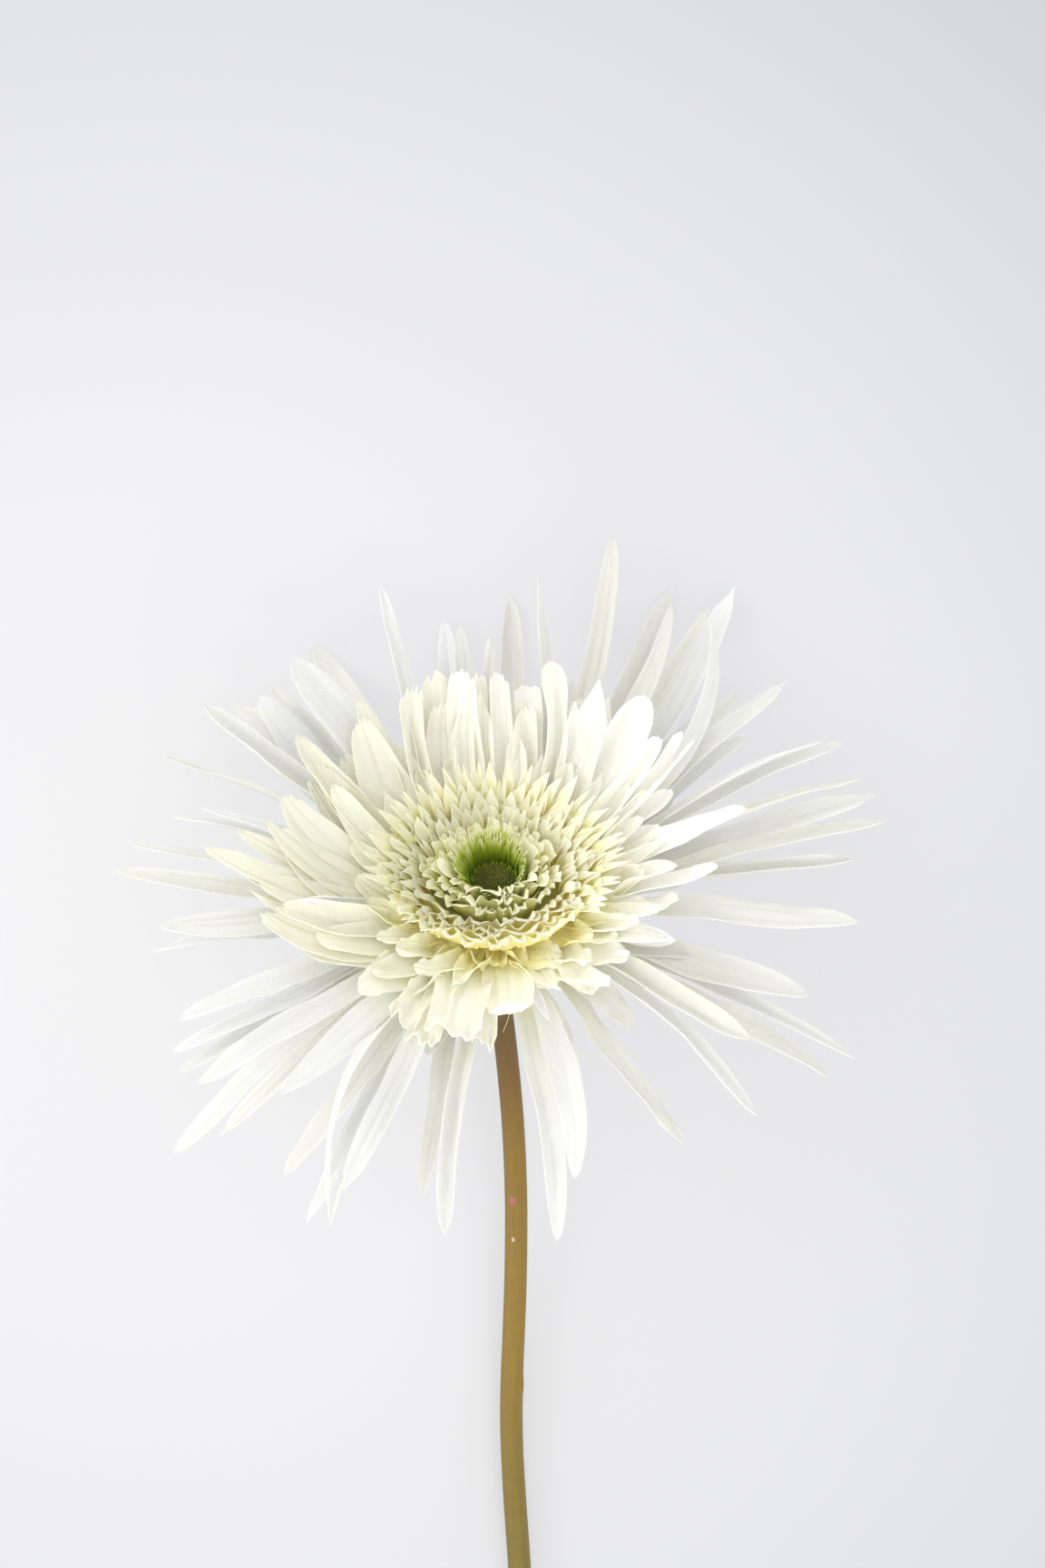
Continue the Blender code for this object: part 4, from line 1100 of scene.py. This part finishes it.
def make_stem():
    """A round stem with low ribs, small dents and marks, its place counted from the head."""
    line = stem_line()
    along = unit(np.gradient(line, axis=0))
    along[-1] = AXIS
    travelled = np.concatenate(((0.0,), np.cumsum(np.linalg.norm(np.diff(line, axis=0), axis=1))))[:, None]
    behind = (line[:, 1:2] - HEAD_TOP[1]) / MM
    angle = TURN * np.arange(STEM_SIDES) / STEM_SIDES
    draw = np.random.default_rng(31)
    radius = np.full((len(line), STEM_SIDES), STEM_RADIUS)
    for ribs, depth in STEM_RIBS:
        radius += depth * MM * np.cos(ribs * angle + 0.9 * np.sin(travelled / 0.055 + ribs))
    for _ in range(STEM_DENTS):
        where, around = draw.uniform(0, travelled[-1, 0]), draw.uniform(0, TURN)
        length, width = draw.uniform(1.0, 5.0) * MM, draw.uniform(0.3, 0.8)
        height = draw.normal(0, 0.04) * MM
        radius += height * soft_bump(travelled - where, length, angle, around, width)
    for place, around, length, width, height in STEM_MARKS:
        radius += height * MM * soft_bump(behind - place, length, angle, around, width)
    radius -= 0.03 * MM
    rings, index, after = tube(line, along, (0.0, 0.0, 1.0), radius[..., None], angle)
    rings[..., 2] = np.maximum(rings[..., 2], FLOOR_CLEARANCE[1] * MM)
    points = np.concatenate((rings.reshape(-1, 3), line[:1] - along[:1] * 0.1 * MM, line[-1:]))
    first = np.stack((after[0], index[0], np.full(STEM_SIDES, index.size)), -1)
    last = np.stack((index[-1], after[-1], np.full(STEM_SIDES, index.size + 1)), -1)
    place = pair(angle / TURN, behind / -STEM_MAP[1]).reshape(-1, 2)
    place = np.concatenate((place, ((0.5, place[0, 1]), (0.5, place[-1, 1]))))
    mesh = Mesh()
    mesh.add(points, place, place * STEM_MAP, 0.5, grid_quads(index, after), first, last)
    mesh.build("stem_coated", "stem", "stem")


def make_calyx():
    """A shallow cup of overlapping pointed scales under the head."""
    mesh = Mesh()
    draw = np.random.default_rng(41)
    add_band(mesh, CALYX_PROFILE, 0.5 * MM, columns=72, level=0.3)
    for count, low, high, width in CALYX_SCALES:
        for index in range(count):
            azimuth = TURN * (index + draw.uniform(-0.1, 0.1)) / count
            tip = (high[0] + draw.uniform(-0.1, 0.15), high[1] + draw.uniform(-0.3, 0.2))
            add_strand(mesh, azimuth, low, tip, width, -0.35, 12.0, draw.normal(0, 4), 0.0, "point", draw,
                       thickness=0.35 * MM)
    mesh.build("calyx_scales", "calyx", "calyx")


def make_receptacle():
    """The block in the head's middle that the petals and florets grow from."""
    mesh = Mesh()
    add_band(mesh, RECEPTACLE_PROFILE, 0.3 * MM, columns=90, level=0.4)
    mesh.build("receptacle_block", "receptacle", "receptacle")


def make_thread():
    """A loose thread from the front petal's fold past the stem."""
    points = []
    for right, above, high in THREAD_POINTS:
        where = HEAD_TOP + right * MM * RIGHT + above * MM * UP
        points.append(where + (high * MM - where[2]) / OUT[2] * OUT)
    fine, marks = np.linspace(0, 1, 24), np.linspace(0, 1, len(points))
    line = np.stack([np.interp(fine, marks, values) for values in zip(*points)], -1)
    for _ in range(3):
        line[1:-1] = (line[:-2] + 2 * line[1:-1] + line[2:]) / 4.0
    angle = TURN * np.arange(6) / 6
    along = unit(np.gradient(line, axis=0))
    rings, index, after = tube(line, along, OUT + 0.01 * RIGHT, THREAD_RADIUS, angle)
    mesh = Mesh()
    mesh.add(rings.reshape(-1, 3), 0.8, 3.2, 0.5, grid_quads(index, after), index[:1, ::-1], index[-1:])
    mesh.build("loose_thread", "mid_petal")


class Value:
    """A number in a node tree, worked on with ordinary operators."""

    def __init__(self, nodes, socket):
        self.nodes = nodes
        self.socket = socket

    def __add__(self, other):
        return self.nodes.maths("ADD", self, other)

    def __sub__(self, other):
        return self.nodes.maths("SUBTRACT", self, other)

    def __rsub__(self, other):
        return self.nodes.maths("SUBTRACT", other, self)

    def __mul__(self, other):
        return self.nodes.maths("MULTIPLY", self, other)

    def __truediv__(self, other):
        return self.nodes.maths("DIVIDE", self, other)


class Nodes:
    """A short way to write a material's node tree."""

    def __init__(self, name):
        self.material = bpy.data.materials.new(name)
        self.material.use_nodes = True
        self.tree = self.material.node_tree
        self.tree.nodes.clear()

    def add(self, kind, **inputs):
        """A node with those inputs, an underscore in a name standing for a space."""
        node = self.tree.nodes.new(kind)
        for key, value in inputs.items():
            self.put(node.inputs[key.replace("_", " ")], value)
        return node

    def put(self, socket, value):
        value = value.socket if isinstance(value, Value) else value
        if isinstance(value, bpy.types.NodeSocket):
            self.tree.links.new(value, socket)
        else:
            socket.default_value = value

    def maths(self, operation, *values):
        node = self.tree.nodes.new("ShaderNodeMath")
        node.operation = operation
        for socket, value in zip(node.inputs, values):
            self.put(socket, value)
        return Value(self, node.outputs[0])

    def mix(self, blend, factor, first, second):
        node = self.tree.nodes.new("ShaderNodeMix")
        node.data_type = "RGBA"
        node.blend_type = blend
        for index, value in ((0, factor), (6, first), (7, second)):
            self.put(node.inputs[index], value)
        return node.outputs[2]

    def shaded(self, colour, red, green, blue):
        """The colour with each of its parts multiplied."""
        grey = self.add("ShaderNodeCombineColor", Red=red, Green=green, Blue=blue)
        return self.mix("MULTIPLY", 1.0, colour, grey.outputs[0])

    def ramp(self, factor, stops):
        node = self.tree.nodes.new("ShaderNodeValToRGB")
        self.put(node.inputs[0], factor)
        elements = node.color_ramp.elements
        while len(elements) < len(stops):
            elements.new(0.5)
        for element, (place, colour) in zip(elements, stops):
            element.position = place
            element.color = (*colour, 1.0)
        return node.outputs[0]

    def noise(self, vector, scale, detail=3.0, roughness=0.55, stretch=None):
        """Noise over a vector, which is scaled first where stretch is given."""
        if stretch:
            vector = self.add("ShaderNodeMapping", Scale=stretch, Vector=vector).outputs[0]
        node = self.add("ShaderNodeTexNoise", Scale=scale, Detail=detail, Roughness=roughness, Vector=vector)
        return Value(self, node.outputs[0])

    def layer(self, name):
        node = self.tree.nodes.new("ShaderNodeUVMap")
        node.uv_map = name
        return node.outputs[0]

    def parts(self, vector):
        """A vector's first two numbers."""
        outputs = self.add("ShaderNodeSeparateXYZ", Vector=vector).outputs
        return Value(self, outputs[0]), Value(self, outputs[1])

    def surface(self, colour, roughness, height, strength, distance, **more):
        """A shader with a bump of that height."""
        bump = self.add("ShaderNodeBump", Strength=strength, Distance=distance, Height=height).outputs[0]
        return self.add("ShaderNodeBsdfPrincipled", Base_Color=colour, Roughness=roughness, Normal=bump,
                        **more)

    def finished(self, shader):
        self.add("ShaderNodeOutputMaterial", Surface=shader.outputs[0])
        return self.material


def cloth_material(name, see_through, stops, tone_and_shade_share, edge=0.12, span=None):
    """Woven cloth: colour along the petal, a painted highlight along cut edges, painted shade and random
    variation from its shade layer, lengthwise fibres, weave, and light through it.

    The colours run over the petal's length, or over span mm from its root.
    """
    n = Nodes(name)
    across, along = n.parts(n.layer("place"))
    cloth = n.layer("cloth")
    thread_x, thread_y = n.parts(cloth)
    tone_and_painted_shade, offset = n.parts(n.layer("tone_and_shade"))
    along = thread_y / span if span else along
    colour = n.ramp(along + (n.noise(cloth, 0.35, 2.0) - 0.5) * 0.16 + (offset - 0.5) * 0.12, stops)
    fibres = n.noise(cloth, 1.0, 4.0, 0.6, stretch=(3.2, 0.16, 1.0))
    streaks = n.noise(cloth, 1.0, 2.0, 0.5, stretch=(0.55, 0.05, 1.0))
    # The shade layer's first number darkens and yellows the cloth: painted shade where it is set by side or
    # by fold, random variation where it is drawn at random.
    tone_and_shade_factor = tone_and_painted_shade * tone_and_shade_share + (1.0 - tone_and_shade_share)
    shade = (fibres * 0.05 + 0.935 + streaks * 0.08) * tone_and_shade_factor
    colour = n.shaded(colour, shade, shade, shade * tone_and_shade_factor)
    # Painted highlight: the colour turns pale over the outermost tenth of each side of the petal.
    off = n.maths("ABSOLUTE", across * 2.0 - 1.0)
    colour = n.mix("MIX", n.maths("MAXIMUM", off - 0.8, 0.0) * (5.0 * edge), colour, EDGE_HIGHLIGHT_COLOUR)
    weave = (n.maths("SINE", thread_x * (TURN / WEAVE_PITCH)) * 0.4
             + n.maths("SINE", thread_y * (TURN / WEAVE_PITCH)) * 0.6)
    shader = n.surface(colour, fibres * 0.25 + 0.62, weave * 0.35 + fibres * 1.2, 0.3, 0.12 * MM,
                       Sheen_Weight=0.12, Sheen_Roughness=0.5, Specular_IOR_Level=0.3)
    bump = shader.inputs["Normal"].links[0].from_socket
    glow = n.add("ShaderNodeBsdfTranslucent", Color=colour, Normal=bump)
    mixed = n.add("ShaderNodeMixShader", Fac=weave * 0.03 + see_through)
    n.put(mixed.inputs[1], shader.outputs[0])
    n.put(mixed.inputs[2], glow.outputs[0])
    return n.finished(mixed)


def stem_material():
    """Satin coat: brown under the head, olive lower down, darker just under the head as painted shade, with
    fine lengthwise streaks and small specks.
    """
    n = Nodes("stem_coat")
    around, down = n.parts(n.layer("place"))
    cloth = n.layer("cloth")
    drift = n.noise(cloth, 1.0, 3.0, stretch=(0.15, 0.03, 1.0))
    colour = n.ramp(down * (STEM_MAP[1] / COLOURED_STEM) + (drift - 0.5) * 0.25, STEM_COLOURS)
    streaks = n.noise(cloth, 1.0, 4.0, 0.65, stretch=(2.6, 0.12, 1.0))
    blotches = n.noise(cloth, 0.45, 4.0, 0.6)
    shade = streaks * 0.34 + 0.72 + blotches * 0.22
    colour = n.shaded(colour, shade, shade, shade)
    speck = n.maths("GREATER_THAN", n.noise(cloth, 3.4, 2.0), 0.735)
    colour = n.mix("MIX", speck * 0.35, colour, SPECK_COLOUR)
    for behind, turned, half_width, half_height, tint, strength in STEM_SPOTS:
        off = (down * -STEM_MAP[1] - behind) / half_height
        aside = (around - turned) / half_width
        inside = n.maths("MAXIMUM", 1.0 - n.maths("SQRT", off * off + aside * aside), 0.0) * 2.0
        colour = n.mix("MIX", n.maths("MINIMUM", inside, 1.0) * strength, colour, (*tint, 1.0))
    return n.finished(n.surface(colour, streaks * 0.2 + 0.42, streaks + blotches * 0.6, 0.5, 0.15 * MM,
                                Specular_IOR_Level=0.35, Sheen_Weight=0.05))


def plastic_material(name, low, high, pitch):
    """Matte moulded plastic: two tones along the piece, mottled, with a fine grain."""
    n = Nodes(name)
    _, along = n.parts(n.layer("place"))
    where = n.add("ShaderNodeTexCoord").outputs["Object"]
    mottle = n.noise(where, pitch, 4.0, 0.6)
    colour = n.ramp(along + (mottle - 0.5) * 0.5, ((0.0, low), (1.0, high)))
    grain = n.noise(where, pitch * 6.0, 3.0)
    return n.finished(n.surface(colour, grain * 0.2 + 0.5, grain, 0.4, 0.1 * MM))


def place_at(thing, side, top, out, place):
    """Turns a light or the camera to those directions, at that place."""
    rows = [[side[axis], top[axis], out[axis], place[axis]] for axis in range(3)]
    thing.matrix_world = Matrix(rows + [[0.0, 0.0, 0.0, 1.0]])


def make_camera():
    data = bpy.data.cameras.new("camera")
    data.lens = SENSOR * VIEW_DISTANCE / PICTURE_HEIGHT
    data.sensor_width = SENSOR
    data.clip_start = 0.02
    data.clip_end = 20.0
    camera = placed("camera", data)
    place_at(camera, RIGHT, UP, OUT, PICTURE_CENTRE + OUT * VIEW_DISTANCE)
    bpy.context.scene.camera = camera


def make_floor():
    n = Nodes("floor")
    where = n.add("ShaderNodeTexCoord").outputs["Object"]
    away = n.add("ShaderNodeVectorMath")
    away.operation = "DISTANCE"
    n.put(away.inputs[0], where)
    n.put(away.inputs[1], FLOOR_BRIGHTEST)
    colour = n.ramp(Value(n, away.outputs["Value"]) * 4.0 + n.noise(where, 3.0, 2.0) * 0.04, FLOOR_COLOURS)
    shader = n.add("ShaderNodeBsdfPrincipled", Base_Color=colour, Roughness=0.9, Emission_Color=colour,
                   Emission_Strength=FLOOR_GLOW, Specular_IOR_Level=0.1)
    mesh = bpy.data.meshes.new("floor")
    signs = ((-1, -1), (1, -1), (1, 1), (-1, 1))
    mesh.from_pydata([(x * FLOOR_REACH, y * FLOOR_REACH, -FLOOR_DROP) for x, y in signs], [], [(0, 1, 2, 3)])
    mesh.materials.append(n.finished(shader))
    placed("floor", mesh)


def make_light(name, place, size, power, colour):
    """A round area light that faces the head."""
    data = bpy.data.lights.new(name, "AREA")
    data.shape = "DISK"
    data.size = size
    data.energy = power
    data.color = colour
    away = unit(np.array(place) - HEAD_TOP)
    side = unit(np.cross((0.0, 1.0, 0.001), away))
    place_at(placed(name, data), side, np.cross(away, side), away, place)


def make_lights():
    make_light("key", *KEY_LIGHT)
    make_light("fill", *FILL_LIGHT)
    world = bpy.data.worlds.new("studio")
    world.use_nodes = True
    background = world.node_tree.nodes["Background"]
    background.inputs[0].default_value = STUDIO_COLOUR
    background.inputs[1].default_value = STUDIO_STRENGTH
    scene = bpy.context.scene
    scene.world = world
    scene.view_settings.view_transform = "Standard"
    # Light passes through many layers of cloth before it comes out.
    scene.cycles.max_bounces = LIGHT_BOUNCES
    scene.cycles.diffuse_bounces = LIGHT_BOUNCES
    scene.cycles.transmission_bounces = LIGHT_BOUNCES


materials = {slot: cloth_material(name, see_through, stops, **more)
             for slot, (name, see_through, more, stops) in CLOTHS.items()}
materials["stem"] = stem_material()
materials["calyx"] = plastic_material("calyx_green", (0.06, 0.13, 0.03), (0.14, 0.26, 0.07), 400.0)
materials["receptacle"] = plastic_material("receptacle_green", (0.20, 0.30, 0.09), (0.34, 0.44, 0.18), 300.0)

make_camera()
make_floor()
make_lights()
make_outer_petals()
make_ring("mid_petals_lower", "mid_petal", 300)
make_ring("mid_petals_upper", "mid_petal", 400)
make_ring("inner_petals", "inner_petal", 500)
make_loose_petals()
make_thread()
make_outer_florets()
make_inner_florets()
make_centre_fringe()
make_button()
make_stem()
make_calyx()
make_receptacle()
